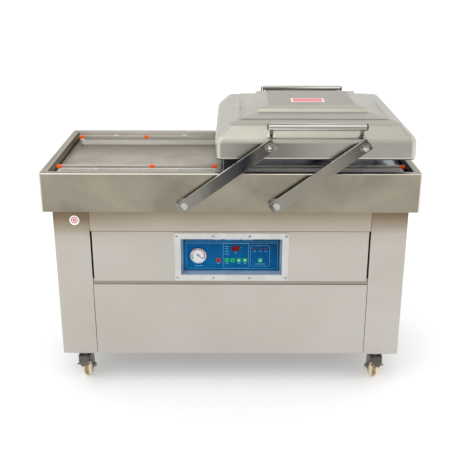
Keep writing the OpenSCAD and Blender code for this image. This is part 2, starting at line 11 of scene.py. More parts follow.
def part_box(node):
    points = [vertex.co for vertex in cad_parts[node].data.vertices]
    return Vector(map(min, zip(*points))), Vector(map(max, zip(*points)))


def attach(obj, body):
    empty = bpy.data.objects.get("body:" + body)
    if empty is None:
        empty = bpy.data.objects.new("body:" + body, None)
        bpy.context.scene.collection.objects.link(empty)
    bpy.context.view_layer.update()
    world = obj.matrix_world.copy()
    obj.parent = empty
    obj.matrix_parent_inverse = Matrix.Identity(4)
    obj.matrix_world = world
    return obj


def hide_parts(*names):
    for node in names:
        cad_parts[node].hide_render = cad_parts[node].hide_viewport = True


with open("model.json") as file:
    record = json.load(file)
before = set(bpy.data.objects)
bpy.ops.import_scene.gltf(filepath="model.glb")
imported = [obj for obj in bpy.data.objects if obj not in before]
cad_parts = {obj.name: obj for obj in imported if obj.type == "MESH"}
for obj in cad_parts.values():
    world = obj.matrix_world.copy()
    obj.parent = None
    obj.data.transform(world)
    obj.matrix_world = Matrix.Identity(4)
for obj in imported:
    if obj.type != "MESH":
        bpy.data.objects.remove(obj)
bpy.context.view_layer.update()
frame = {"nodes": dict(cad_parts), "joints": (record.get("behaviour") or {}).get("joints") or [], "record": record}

MM = 0.001
CORNERS = ("front_left", "front_right", "rear_left", "rear_right")


def turn(degrees, axis):
    return Matrix.Rotation(math.radians(degrees), 4, axis)


def move(x, y, z):
    return Matrix.Translation((x, y, z))


def mm(points):
    """Points given in millimetres."""
    return [tuple(value * MM for value in point) for point in points]


UPRIGHT = turn(90, "X")  # a drawing's X and Y become X and Z, seen from the front
BACKWARD = turn(180, "Z") @ UPRIGHT  # the same, seen from the back
SIDEWAYS = turn(90, "Y")  # a turned part's axis becomes X


def new_object(name, data, at=(0, 0, 0), angles=(0, 0, 0)):
    """An object in the scene, turned by these angles in degrees."""
    obj = bpy.data.objects.new(name, data)
    obj.location = at
    obj.rotation_euler = [math.radians(angle) for angle in angles]
    bpy.context.scene.collection.objects.link(obj)
    return obj


# ---------- camera, stage and lights ----------

def make_camera():
    """The camera stands in front of the machine and looks down at it."""
    lens = bpy.data.cameras.new("camera")
    lens.sensor_width = 36
    lens.lens = 61.57
    bpy.context.scene.camera = new_object("camera", lens, (0.0156, -2.7585, 1.5128), (69.59, 0, 0.379))


def make_floor():
    """Wide pale floor, evenly lit."""
    bm = bmesh.new()
    bmesh.ops.create_grid(bm, x_segments=1, y_segments=1, size=60)
    mesh = bpy.data.meshes.new("floor")
    bm.to_mesh(mesh)
    bm.free()
    floor = new_object("floor", mesh)
    shader = Shader("floor_paint")
    cloud = shader.noise(1.5, detail=2)
    shader.colour(shader.mix(cloud, (0.81, 0.81, 0.81), (0.83, 0.83, 0.83)))
    shader.set(Roughness=0.9, Emission_Color=(1, 1, 1, 1), Emission_Strength=0.22)
    mesh.materials.append(shader.material)


def make_lights():
    """A pale sky, brightest overhead, a very soft sun from high on the left, and a wide box in front."""
    world = bpy.data.worlds.new("studio")
    bpy.context.scene.world = world
    world.use_nodes = True
    nodes = world.node_tree.nodes
    links = world.node_tree.links
    direction = nodes.new("ShaderNodeTexCoord")
    split = nodes.new("ShaderNodeSeparateXYZ")
    height = nodes.new("ShaderNodeMapRange")
    height.inputs["From Min"].default_value = -0.2
    ramp = nodes.new("ShaderNodeValToRGB")
    stops = [(0.0, 0.92), (0.17, 0.97), (0.62, 1.0), (0.85, 0.92), (1.0, 0.90)]
    for i, (place, value) in enumerate(stops):
        stop = ramp.color_ramp.elements[i] if i < 2 else ramp.color_ramp.elements.new(place)
        stop.position = place
        stop.color = (value, value, value * 1.01, 1)
    links.new(direction.outputs["Generated"], split.inputs[0])
    links.new(split.outputs["Z"], height.inputs["Value"])
    links.new(height.outputs[0], ramp.inputs[0])
    links.new(ramp.outputs[0], nodes["Background"].inputs["Color"])
    nodes["Background"].inputs["Strength"].default_value = 1.06

    sun = bpy.data.lights.new("soft_sun", "SUN")
    sun.energy = 0.55
    sun.angle = math.radians(50)
    new_object("soft_sun", sun, angles=(26, -16, 0))

    box = bpy.data.lights.new("front_box", "AREA")
    box.shape = "RECTANGLE"
    box.size = 3.6
    box.size_y = 2.2
    box.energy = 5
    place = Vector((-0.6, -3.4, 2.2))
    aim = Vector((0, 0, 0.6)) - place
    new_object("front_box", box, place).rotation_euler = aim.to_track_quat("-Z", "Y").to_euler()
    bpy.context.scene.view_settings.view_transform = "Standard"


# ---------- shaders ----------

class Shader:
    """A material whose colour, roughness and relief come from a few procedural textures."""

    def __init__(self, name):
        self.material = bpy.data.materials.new(name)
        self.material.use_nodes = True
        self.nodes = self.material.node_tree.nodes
        self.links = self.material.node_tree.links
        self.surface = self.nodes["Principled BSDF"]
        self.place = self.nodes.new("ShaderNodeTexCoord").outputs["Object"]

    def set(self, **values):
        for name, value in values.items():
            self.surface.inputs[name.replace("_", " ")].default_value = value

    def _put(self, socket, value):
        if isinstance(value, bpy.types.NodeSocket):
            self.links.new(value, socket)
        elif isinstance(value, (tuple, list)) and len(value) == 3 and socket.type == "RGBA":
            socket.default_value = (*value, 1)
        else:
            socket.default_value = value

    def _node(self, kind, inputs, **settings):
        """A new node with its settings, and with a value or a link on each of these inputs."""
        node = self.nodes.new("ShaderNode" + kind)
        for name, value in settings.items():
            setattr(node, name, value)
        for name, value in inputs.items():
            self._put(node.inputs[name], value)
        return node

    def noise(self, scale, stretch=None, detail=3.0, distortion=0.0):
        place = self.place
        if stretch:
            place = self._node("Mapping", {"Scale": stretch, "Vector": self.place}).outputs[0]
        inputs = {"Scale": scale, "Detail": detail, "Distortion": distortion, "Vector": place}
        return self._node("TexNoise", inputs).outputs["Fac"]

    def weave(self, threads):
        """Crossing threads, this many to the metre."""
        inputs = {"Scale": threads / (2 * math.pi), "Vector": self.place}
        waves = [self._node("TexWave", inputs, bands_direction=way).outputs["Fac"] for way in ("X", "Y")]
        return self.maths("MAXIMUM", *waves)

    def cells(self, scale):
        return self._node("TexVoronoi", {"Scale": scale, "Vector": self.place}).outputs["Distance"]

    def axis(self, name):
        return self._node("SeparateXYZ", {0: self.place}).outputs[name]

    def facing(self, name):
        """How squarely the surface faces along one axis of the piece, 0 to 1."""
        normal = self.place.node.outputs["Normal"]
        return self.maths("ABSOLUTE", self._node("SeparateXYZ", {0: normal}).outputs[name])

    def edges(self):
        """1 on rounded edges, where the surface leans between two axes, and 0 on square faces."""
        squarest = self.maths("MAXIMUM", self.facing("Y"), self.facing("Z"))
        squarest = self.maths("MAXIMUM", self.facing("X"), squarest)
        return self.mapped(squarest, 0.96, 0.8, 0.0, 1.0)

    def maths(self, operation, a, b=0.0):
        return self._node("Math", {0: a, 1: b}, operation=operation).outputs[0]

    def mapped(self, value, from_low, from_high, to_low, to_high):
        inputs = {"Value": value, 1: from_low, 2: from_high, 3: to_low, 4: to_high}
        return self._node("MapRange", inputs).outputs[0]

    def swing(self, noise, low, high):
        """Spreads the span that a noise mostly keeps to over the span from low to high."""
        return self.mapped(noise, 0.3, 0.7, low, high)

    def blend(self, a, b, share):
        """Two values added up, with this share of the first."""
        return self.maths("ADD", self.maths("MULTIPLY", a, share), self.maths("MULTIPLY", b, 1 - share))

    def mix(self, factor, a, b, kind="MIX"):
        """Two colours, of which the factor says how much of the second."""
        inputs = {"Factor": factor, 6: a, 7: b}
        return self._node("Mix", inputs, data_type="RGBA", blend_type=kind).outputs[2]

    def times(self, a, b):
        """Product of two colours."""
        return self.mix(1.0, a, b, "MULTIPLY")

    def ramp(self, factor, *stops):
        node = self._node("ValToRGB", {0: factor})
        for i, (place, colour) in enumerate(stops):
            stop = node.color_ramp.elements[i] if i < 2 else node.color_ramp.elements.new(place)
            stop.position = place
            stop.color = (*colour, 1)
        return node.outputs[0]

    def colour(self, value):
        self._put(self.surface.inputs["Base Color"], value)

    def roughness(self, value):
        self._put(self.surface.inputs["Roughness"], value)

    def brushed(self, hairlines, strength=0.35, metallic=1.0):
        """Bare metal with very fine scratches; gives the finished material back."""
        self.relief(hairlines, 0.02 * MM, strength)
        self.set(Metallic=metallic)
        return self.material

    def relief(self, height, depth, strength=1.0):
        """Bump of this depth in metres."""
        node = self._node("Bump", {"Strength": strength, "Distance": depth, "Height": height})
        self.links.new(node.outputs[0], self.surface.inputs["Normal"])


def shade(colour, factor):
    return tuple(min(1.0, c * factor) for c in colour)


GRAIN = {"X": (5, 900, 900), "Y": (900, 5, 900), "Z": (900, 900, 5)}


class Sheet(Shader):
    """Brushed stainless sheet: hairlines along the grain, a cloudy polish and faint smears."""

    def __init__(self, name, dark, light, clouds, lines, smears=17, grain="X"):
        super().__init__(name)
        self.hairlines = self.noise(1.0, GRAIN[grain], detail=4)
        self.polish = self.noise(clouds, detail=4, distortion=0.6)
        self.smears = self.noise(smears, detail=2)
        self.tone = self.ramp(self.blend(self.hairlines, self.polish, lines), (0.34, dark), (0.66, light))

    def finished(self, colour, smoothest, roughest):
        self.colour(colour)
        self.roughness(self.swing(self.blend(self.polish, self.smears, 0.5), smoothest, roughest))
        return self.brushed(self.hairlines)


def steel(name, colour, roughness, grain="X", contrast=0.07, clouds=3.0, lines=0.35, edge=None):
    """Plain brushed sheet, with painted highlights on its rounded edges if their colour is given."""
    sheet = Sheet(name, shade(colour, 1 - contrast), shade(colour, 1 + contrast), clouds, lines, grain=grain)
    tone = sheet.mix(sheet.edges(), sheet.tone, edge) if edge else sheet.tone
    return sheet.finished(tone, roughness - 0.05, roughness + 0.06)


def cabinet_sheet():
    """Satin sheet of the cabinet, with painted shade under the table's overhang, darkest on the tops of the posts,
    and painted a little lighter near the floor.
    """
    sheet = Sheet("satin_cabinet_sheet", (0.470, 0.440, 0.392), (0.545, 0.515, 0.465), 2.4, 0.35, 15)
    height = sheet.maths("ADD", sheet.axis("Z"), sheet.swing(sheet.polish, -0.02, 0.02))
    # painted shade: darker and browner towards the top, where the table overhangs; a little painted light near the
    # floor
    overhang_shade = sheet.ramp(
        sheet.mapped(height, 0.10, 0.67, 0.0, 1.0),
        (0.03, (1.04, 1.04, 1.05)), (0.22, (1.02, 1.02, 1.02)), (0.74, (1.0, 1.0, 1.0)),
        (0.81, (0.94, 0.92, 0.89)), (0.89, (0.76, 0.70, 0.61)), (0.975, (0.46, 0.40, 0.32)),
    )
    post = sheet.mapped(sheet.maths("ABSOLUTE", sheet.axis("X")), 0.472, 0.478, 0.0, 1.0)
    top = sheet.mapped(height, 0.56, 0.63, 0.0, 1.0)
    # painted shade: the tops of the two posts, just under the table, are darker still
    post_top_shade = sheet.mix(sheet.maths("MULTIPLY", post, top), (0.98, 0.98, 0.98), (0.62, 0.57, 0.49))
    return sheet.finished(sheet.times(sheet.times(sheet.tone, overhang_shade), post_top_shade), 0.31, 0.42)


def well_sheet():
    """Ground sheet of the wells, darker to the back and smoother in the right well, with painted shade in the
    right well and on the end walls, painted light on the front and back walls and painted highlights on the
    rounded edges.
    """
    shader = Shader("satin_well_sheet")
    hairlines = shader.noise(1.0, GRAIN["X"], detail=4)
    polish = shader.noise(4.0, detail=5, distortion=0.8)
    stains = shader.noise(13, detail=3)
    tone = shader.blend(hairlines, polish, 0.3)
    sheet = shader.ramp(tone, (0.34, (0.325, 0.293, 0.230)), (0.66, (0.44, 0.402, 0.325)))
    sheet = shader.mix(shader.mapped(shader.axis("Y"), 0.0, 0.19, 0.0, 0.72), sheet, (0.19, 0.168, 0.13))
    right = shader.mapped(shader.axis("X"), 0.0, 0.02, 0.0, 1.0)
    # painted shade: the right well, under the lid, is darker and bluer
    sheet = shader.mix(right, sheet, (0.165, 0.185, 0.20))
    ends = shader.mapped(shader.facing("X"), 0.5, 0.95, 0.0, 1.0)
    # painted shade on the end walls
    sheet = shader.mix(ends, sheet, (0.25, 0.228, 0.185))
    lit_front_back_walls = shader.mapped(shader.facing("Y"), 0.5, 0.95, 0.0, 1.0)
    # painted light on the front and back walls
    sheet = shader.mix(lit_front_back_walls, sheet, (0.95, 0.93, 0.86))
    # painted highlight along the rounded edges
    shader.colour(shader.mix(shader.edges(), sheet, (0.72, 0.69, 0.62)))
    worn = shader.swing(stains, 0.36, 0.48)
    shader.roughness(shader.maths("SUBTRACT", worn, shader.maths("MULTIPLY", right, 0.24)))
    return shader.brushed(hairlines)


def hood_sheet():
    """Satin sheet of the lid's hood, with light and shade painted by slope: painted shade on the skirt and the
    crown, painted highlights on the hips, the corners and the lower edge.
    """
    sheet = Sheet("satin_lid_sheet", (0.335, 0.323, 0.280), (0.395, 0.380, 0.330), 4.0, 0.2)
    # painted light and shade by slope: the slopes lighter than the skirt, the crown darker
    slope_light_and_shade = sheet.ramp(
        sheet.facing("Z"),
        (0.0, (0.98, 0.98, 0.98)), (0.12, (0.98, 0.98, 0.98)), (0.55, (1.10, 1.10, 1.08)),
        (0.93, (1.20, 1.20, 1.20)), (0.99, (1.20, 1.20, 1.20)), (1.0, (0.84, 0.82, 0.76)),
    )
    tone = sheet.times(sheet.tone, slope_light_and_shade)
    # painted shade on the middle of the skirt
    skirt = sheet.mapped(sheet.facing("Z"), 0.30, 0.08, 0.0, 1.0)
    off_centre = sheet.maths("ABSOLUTE", sheet.maths("SUBTRACT", sheet.axis("X"), 0.13))
    skirt_shade_strength = sheet.mapped(off_centre, 0.04, 0.20, 0.95, 0.22)
    tone = sheet.mix(sheet.maths("MULTIPLY", skirt, skirt_shade_strength), tone, (0.165, 0.16, 0.138))
    # painted highlight along the hips and the rounded corners
    hip_highlight_mask = sheet.maths("MINIMUM", sheet.facing("X"), sheet.facing("Y"))
    tone = sheet.mix(sheet.mapped(hip_highlight_mask, 0.15, 0.42, 0.0, 0.75), tone, (0.66, 0.64, 0.58))
    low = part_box("lid_shell")[0].z
    # painted highlight along the lower edge
    lip = sheet.mapped(sheet.axis("Z"), low + 2 * MM, low + 3.5 * MM, 0.7, 0.0)
    return sheet.finished(sheet.mix(lip, tone, (0.70, 0.68, 0.63)), 0.29, 0.40)


def polished_bar():
    """Polished tube and nuts, with long die lines whose strong dark and bright bands are partly painted
    reflection; faces square to Y are darker.
    """
    shader = Shader("polished_bar")
    die_lines_and_reflections = shader.noise(1.0, (1.5, 130, 130), detail=3)
    # die lines, partly real and partly painted reflection: they swing from near black to bright across the tube
    tone = shader.ramp(
        die_lines_and_reflections, (0.36, (0.10, 0.085, 0.06)), (0.44, (0.40, 0.385, 0.345)), (0.58, (0.62, 0.61, 0.58)),
        (0.66, (0.20, 0.18, 0.15)),
    )
    flat = shader.mapped(shader.facing("Y"), 0.975, 0.995, 0.0, 0.8)
    shader.colour(shader.mix(flat, tone, (0.16, 0.15, 0.125)))
    shader.roughness(shader.swing(die_lines_and_reflections, 0.09, 0.17))
    shader.relief(die_lines_and_reflections, 0.02 * MM, 0.3)
    shader.set(Metallic=1.0)
    return shader.material


def arm_steel():
    """Drawn flat bar: faces with painted reflection, dark and light bands along the two arms, and painted
    highlights on the ground edges.
    """
    shader = Shader("drawn_bar")
    hairlines = shader.noise(1.0, (700, 700, 12), detail=4)
    bands = shader.noise(7, (1, 0.02, 1), detail=3, distortion=0.4)
    along = shader.maths("ADD", shader.axis("X"), shader.swing(bands, -0.014, 0.014))
    # painted reflection: the faces darken and lighten along the arms, darkest and bluest near the middle
    tone = shader.ramp(
        shader.mapped(along, -0.19, 0.46, 0.0, 1.0),
        (0.03, (0.235, 0.222, 0.18)), (0.13, (0.20, 0.193, 0.170)), (0.22, (0.095, 0.093, 0.083)),
        (0.30, (0.055, 0.055, 0.055)), (0.365, (0.020, 0.020, 0.027)), (0.41, (0.085, 0.082, 0.070)),
        (0.48, (0.075, 0.07, 0.06)),
        (0.52, (0.24, 0.226, 0.19)), (0.75, (0.235, 0.216, 0.174)), (0.86, (0.17, 0.155, 0.13)),
        (0.95, (0.085, 0.08, 0.07)),
    )
    # painted highlight: all but the broad front and back faces are near white
    flat = shader.mapped(shader.facing("Y"), 0.75, 0.97, 0.0, 1.0)
    shader.colour(shader.mix(flat, (0.74, 0.73, 0.70), tone))
    shader.roughness(shader.swing(hairlines, 0.20, 0.32))
    return shader.brushed(hairlines, 0.2)


def plated(name, colour, roughness=0.3, spots=260):
    """Zinc plating or cast metal: small soft crystals and slight staining."""
    shader = Shader(name)
    crystals = shader.cells(spots)
    stain = shader.noise(22, detail=4)
    tone = shader.blend(crystals, stain, 0.4)
    shader.colour(shader.ramp(tone, (0.25, shade(colour, 0.82)), (0.7, shade(colour, 1.12))))
    shader.roughness(shader.swing(stain, roughness - 0.06, roughness + 0.1))
    shader.relief(crystals, 0.03 * MM, 0.4)
    shader.set(Metallic=1.0)
    return shader.material


def moulded(name, colour, roughness=0.4, grain=1500, depth=0.03, coat=0.0, change=0.06, shine=0.5):
    """Plastic, rubber or paint with a fine grain and slightly uneven colour."""
    shader = Shader(name)
    pores = shader.noise(grain, detail=2)
    cloud = shader.noise(30, detail=3)
    shader.colour(shader.ramp(cloud, (0.32, shade(colour, 1 - change)), (0.68, shade(colour, 1 + change))))
    shader.roughness(shader.swing(cloud, roughness - 0.05, roughness + 0.05))
    shader.relief(pores, depth * MM, 0.5)
    shader.set(Coat_Weight=coat, Coat_Roughness=0.08, Specular_IOR_Level=shine)
    return shader.material


def printed_film():
    """Blue film of the membrane, with painted shade from its recess towards the top and right, so that it is
    lighter towards its lower left corner.
    """
    shader = Shader("printed_film")
    cloud = shader.noise(30, detail=3)
    low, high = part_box("membrane_panel")
    across = shader.mapped(shader.axis("X"), low.x, high.x, 0.0, 0.4)
    upwards = shader.mapped(shader.axis("Z"), low.z, high.z, 0.0, 0.6)
    ink = shader.ramp(cloud, (0.32, (0.0007, 0.092, 0.24)), (0.68, (0.0009, 0.112, 0.29)))
    # painted shade: the recess darkens the film towards its top and right edges
    depth = shader.ramp(
        shader.maths("ADD", across, upwards), (0.10, (1.22, 1.22, 1.22)), (0.45, (0.90, 0.92, 1.0)),
        (0.80, (0.40, 0.52, 0.57)),
    )
    shader.colour(shader.times(ink, depth))
    shader.roughness(shader.swing(cloud, 0.45, 0.55))
    shader.relief(shader.noise(2200, detail=2), 0.015 * MM, 0.5)
    shader.set(Specular_IOR_Level=0.06)
    return shader.material


def anodised():
    """Pale anodised extrusion: half metal, with fine die lines along it."""
    shader = Shader("anodised_extrusion")
    lines = shader.noise(1.0, GRAIN["X"], detail=4)
    cloud = shader.noise(9, detail=3)
    tone = shader.blend(lines, cloud, 0.5)
    shader.colour(shader.ramp(tone, (0.34, (0.70, 0.685, 0.64)), (0.66, (0.82, 0.805, 0.76))))
    shader.roughness(shader.swing(cloud, 0.32, 0.42))
    return shader.brushed(lines, 0.4, 0.35)


def glowing(name, colour, strength):
    """A lit or half-lit plastic segment."""
    shader = Shader(name)
    cloud = shader.noise(400, detail=2)
    tone = shader.mix(cloud, shade(colour, 0.85), shade(colour, 1.1))
    shader.colour(tone)
    shader.links.new(tone, shader.surface.inputs["Emission Color"])
    shader.set(Emission_Strength=strength, Roughness=0.35, Specular_IOR_Level=0.2)
    return shader.material


def tape_cloth():
    """Non-stick glass cloth over the seal bars: a fine weave, browned a little by heat."""
    shader = Shader("seal_tape_cloth")
    weave = shader.weave(1600)
    stain = shader.noise(14, (1, 6, 1), detail=3)
    tone = shader.ramp(stain, (0.35, (0.50, 0.45, 0.37)), (0.7, (0.64, 0.59, 0.50)))
    shader.colour(shader.mix(shader.mapped(weave, 0.2, 1.0, 0.25, 0.0), tone, (0.20, 0.16, 0.11)))
    shader.roughness(shader.swing(stain, 0.34, 0.46))
    shader.relief(weave, 0.06 * MM, 0.6)
    return shader.material


def clear_glass():
    shader = Shader("gauge_glass")
    smear = shader.noise(60, detail=2)
    shader.roughness(shader.swing(smear, 0.01, 0.05))
    shader.set(Alpha=0.08, IOR=1.45)
    shader.colour(shader.mix(smear, (0.90, 0.92, 0.93), (0.96, 0.97, 0.98)))
    return shader.material


def wheel_rubber():
    """Cast wheel: cream sides and a tread browned by the floor round its middle."""
    shader = Shader("wheel_polyurethane")
    across = shader.maths("ABSOLUTE", shader.axis("X"))
    patch = shader.noise(60, detail=3)
    ragged = shader.maths("ADD", across, shader.swing(patch, -0.0012, 0.0012))
    worn = shader.mapped(ragged, 5.5 * MM, 8 * MM, 1.0, 0.0)
    cream = shader.ramp(patch, (0.3, (0.66, 0.59, 0.38)), (0.7, (0.78, 0.72, 0.52)))
    brown = shader.ramp(patch, (0.3, (0.24, 0.15, 0.06)), (0.7, (0.40, 0.28, 0.15)))
    shader.colour(shader.mix(worn, cream, brown))
    shader.roughness(shader.swing(patch, 0.25, 0.42))
    shader.relief(patch, 0.1 * MM, 0.4)
    shader.set(Coat_Weight=0.25, Coat_Roughness=0.15)
    return shader.material


MATERIALS = {
    "cabinet_steel": cabinet_sheet(),
    "frame_steel": steel("frame_tube", (0.31, 0.285, 0.245), 0.42, "X"),
    # the table's rounded rim and corners get a painted highlight
    "table_steel": steel(
        "satin_table_sheet", (0.272, 0.243, 0.188), 0.33, "X", 0.20, 5.0, 0.15, (0.78, 0.75, 0.68)),
    "well_steel": well_sheet(),
    "lid_steel": hood_sheet(),
    "arm_steel": arm_steel(),
    "polished_steel": polished_bar(),
    "zinc_steel": plated("zinc_plating", (0.44, 0.43, 0.405)),
    "bar_base_aluminium": anodised(),
    "bar_head": steel("seal_bar_profile", (0.62, 0.60, 0.56), 0.30, "X", 0.05, 6.0),
    "clip_orange": moulded("orange_heatproof_clip", (0.98, 0.115, 0.010), 0.5, shine=0.15),
    "panel_frame": moulded("powder_coated_frame", (0.53, 0.53, 0.51), 0.42, 900, 0.05),
    "panel_blue": printed_film(),
    "key_green": moulded("green_key_film", (0.03, 0.50, 0.20), 0.4, shine=0.15),
    "key_red": moulded("red_key_film", (0.62, 0.05, 0.02), 0.36, shine=0.2),
    "display_dark": moulded("display_filter", (0.10, 0.003, 0.003), 0.3, 600, 0.01, shine=0.1),
    "gauge_metal": steel("chromed_rim", (0.76, 0.75, 0.73), 0.10, "Z", 0.03, 20.0),
    "needle_black": moulded("needle_enamel", (0.015, 0.015, 0.016), 0.4),
    # the recess paint is tinted blue as a painted reflection of the membrane
    "recess_paint": moulded("recess_enamel_blue_reflection", (0.34, 0.45, 0.54), 0.36, 900, 0.03, shine=0.3),
    "gasket_rubber": moulded("gasket_silicone", (0.02, 0.02, 0.022), 0.55, 700, 0.06, change=0.25),
    "strip_aluminium": steel("counter_bar", (0.56, 0.56, 0.56), 0.4, "X", 0.05, 6.0),
    "pump_paint": moulded("pump_enamel", (0.05, 0.12, 0.24), 0.45, 500, 0.15),
    "motor_paint": moulded("motor_enamel", (0.06, 0.07, 0.085), 0.5, 500, 0.15),
    "transformer_core": plated("varnished_core", (0.20, 0.11, 0.05), 0.5, 500),
    "pipe_zinc": plated("zinc_pipe", (0.50, 0.50, 0.50), 0.36),
    "box_plastic": moulded("pale_box_plastic", (0.66, 0.66, 0.62), 0.45),
    "bearing_iron": plated("bearing_casting", (0.30, 0.30, 0.31), 0.45, 420),
    "spring_steel": plated("spring_wire", (0.34, 0.34, 0.36), 0.30, 600),
    "gland_black": moulded("gland_polyamide", (0.02, 0.02, 0.02), 0.42),
    "wheel_cream": wheel_rubber(),
    "caster_steel": plated("caster_plating", (0.16, 0.17, 0.18), 0.36),
    "pedal_steel": plated("blackened_pedal", (0.115, 0.10, 0.09), 0.42, 320),
}
PRINT_WHITE = moulded("white_print", (0.17, 0.42, 0.62), 0.4, 1800, 0.01, shine=0.15)
ARROW_WHITE = moulded("key_arrow_white", (0.78, 0.88, 0.80), 0.4, 1800, 0.01, shine=0.2)
PRINT_DARK = moulded("dark_print", (0.02, 0.025, 0.03), 0.4, 1800, 0.01)
DIAL_WHITE = moulded("dial_paper", (0.70, 0.74, 0.78), 0.5, 1200, 0.01, change=0.02)
LABEL_RED = moulded("label_red", (0.74, 0.10, 0.11), 0.35, 1200, 0.01, 0.1)
LABEL_WHITE = moulded("label_white", (0.90, 0.90, 0.88), 0.4, 1200, 0.01, 0.1)
STICKER_RED = moulded("sticker_red", (0.55, 0.015, 0.05), 0.4, 1200, 0.01)
SCALE_GREEN = moulded("scale_green", (0.01, 0.26, 0.11), 0.45, 1800, 0.01, shine=0.1)
SCALE_YELLOW = moulded("scale_yellow", (0.72, 0.36, 0.03), 0.45, 1800, 0.01, shine=0.1)
SCALE_RED = moulded("scale_red", (0.42, 0.012, 0.02), 0.45, 1800, 0.01, shine=0.1)
CABLE_GREY = moulded("cable_jacket", (0.16, 0.16, 0.165), 0.5, 900, 0.04)
# painted shade: the inside of the lid is near black-blue, standing for the shade under the hood
LID_INSIDE_SHADE = steel("lid_inside_painted_shade", (0.015, 0.026, 0.042), 0.42, "X", 0.1)
LAMP_RED = glowing("lamp_red", (0.20, 0.004, 0.004), 0.10)
DIGIT_RED = glowing("digit_red", (0.30, 0.012, 0.012), 0.2)
TAPE = tape_cloth()
GLASS = clear_glass()


# ---------- mesh helpers ----------

def rounded(width, height, radius, steps=6, at=(0, 0)):
    """Points round a rectangle with round corners, anticlockwise."""
    points = []
    for corner, (sx, sy) in enumerate([(1, 1), (-1, 1), (-1, -1), (1, -1)]):
        for step in range(steps + 1):
            angle = math.radians(90) * (corner + step / steps)
            points.append((
                at[0] + sx * (width / 2 - radius) + radius * math.cos(angle),
                at[1] + sy * (height / 2 - radius) + radius * math.sin(angle),
            ))
    return points


def arc(radius, start, end, steps=24, at=(0, 0)):
    """Points along a circle between two angles in degrees."""
    angles = [math.radians(start + (end - start) * i / steps) for i in range(steps + 1)]
    return [(at[0] + radius * math.cos(a), at[1] + radius * math.sin(a)) for a in angles]


def circle(radius, count, at=(0, 0)):
    """This many points evenly round a circle."""
    return arc(radius, 0, 360 - 360 / count, count - 1, at)


def join_rings(bm, rings, closed=False):
    """Faces between rings of the same number of vertices, or of one vertex."""
    pairs = list(zip(rings, rings[1:]))
    if closed:
        pairs.append((rings[-1], rings[0]))
    for a, b in pairs:
        for i in range(max(len(a), len(b))):
            j = i + 1
            corners = [a[i % len(a)], a[j % len(a)], b[j % len(b)], b[i % len(b)]]
            corners = list(dict.fromkeys(corners))
            if len(corners) > 2:
                bm.faces.new(corners)


def add_loop(bm, points, z):
    return [bm.verts.new((x, y, z)) for x, y in points]


def add_sideways_prism(bm, outline, left, right, at=(0, 0)):
    """An outline of Y and Z, given in metres about a point, pulled from left to right."""
    rings = [[bm.verts.new((x, at[0] + y, at[1] + z)) for y, z in outline] for x in (left, right)]
    join_rings(bm, rings)
    bm.faces.new(rings[0])
    bm.faces.new(rings[1][::-1])


def add_prism(bm, outline, low, high):
    """A flat outline, pulled up from one height to another."""
    rings = [add_loop(bm, outline, low), add_loop(bm, outline, high)]
    join_rings(bm, rings)
    bm.faces.new(rings[0][::-1])
    bm.faces.new(rings[1])


def add_band(bm, outer, inner, low, high):
    """A prism with a hole; both outlines have the same number of points."""
    corners = ((outer, low), (outer, high), (inner, high), (inner, low))
    join_rings(bm, [add_loop(bm, outline, z) for outline, z in corners], closed=True)


def add_frame(bm, at, size, radius, line, low, high):
    """A printed outline: a thin ring round a rectangle."""
    outer = rounded(size[0], size[1], radius, at=at)
    inner = rounded(size[0] - 2 * line, size[1] - 2 * line, max(radius - line, 0.05 * MM), at=at)
    add_band(bm, outer, inner, low, high)


def add_sector(bm, radius, width, start, end, low, high, at=(0, 0)):
    """A stretch of a flat ring between two angles."""
    outer = arc(radius + width / 2, start, end, at=at)
    inner = arc(radius - width / 2, start, end, at=at)
    add_prism(bm, outer + inner[::-1], low, high)


def add_box(bm, low, high):
    outline = [(low[0], low[1]), (high[0], low[1]), (high[0], high[1]), (low[0], high[1])]
    add_prism(bm, outline, low[2], high[2])


def add_turned(bm, profile, at=(0, 0, 0), segments=48, closed=False):
    """Radius and height pairs, turned about a line along Z."""
    rings = []
    for radius, height in profile:
        count = 1 if radius < 1e-7 else segments
        rings.append([
            bm.verts.new((
                at[0] + radius * math.cos(2 * math.pi * i / segments),
                at[1] + radius * math.sin(2 * math.pi * i / segments),
                at[2] + height,
            ))
            for i in range(count)
        ])
    join_rings(bm, rings, closed)


def add_dome(bm, at, radius, height, steps=5, segments=24, skirt=0.0):
    """A low dome on a straight skirt."""
    profile = [(0, 0), (radius, 0)]
    if skirt:
        profile.append((radius, skirt))
    for i in range(1, steps + 1):
        angle = math.radians(90) * i / steps
        profile.append((radius * math.cos(angle), skirt + height * math.sin(angle)))
    profile[-1] = (0, skirt + height)
    add_turned(bm, profile, at, segments)


def smooth(obj, angle=35):
    for polygon in obj.data.polygons:
        polygon.use_smooth = True
    obj.data.set_sharp_from_angle(angle=math.radians(angle))


def soften(obj, width, segments=2, angle=30):
    """Rounds a piece's edges with a bevel, and keeps its flat faces flat."""
    bevel = obj.modifiers.new("soft_edges", "BEVEL")
    bevel.width = width
    bevel.segments = segments
    bevel.limit_method = "ANGLE"
    bevel.angle_limit = math.radians(angle)
    bevel.use_clamp_overlap = True
    for polygon in obj.data.polygons:
        polygon.use_smooth = True
    keep_faces_flat(obj)


def keep_faces_flat(obj):
    normals = obj.modifiers.new("flat_faces", "WEIGHTED_NORMAL")
    normals.keep_sharp = True


def thicken(obj, name, thickness, side):
    """Gives a skin its wall, on the outer side for 1, the inner for -1, or half each for 0."""
    wall = obj.modifiers.new(name, "SOLIDIFY")
    wall.thickness = thickness
    wall.offset = side
    return wall


def merge_into(bm, other, place):
    """Adds another bmesh's geometry to this one, at its place, and frees it."""
    bmesh.ops.transform(other, matrix=place, verts=other.verts)
    mesh = bpy.data.meshes.new("part")
    other.to_mesh(mesh)
    other.free()
    bm.from_mesh(mesh)
    bpy.data.meshes.remove(mesh)


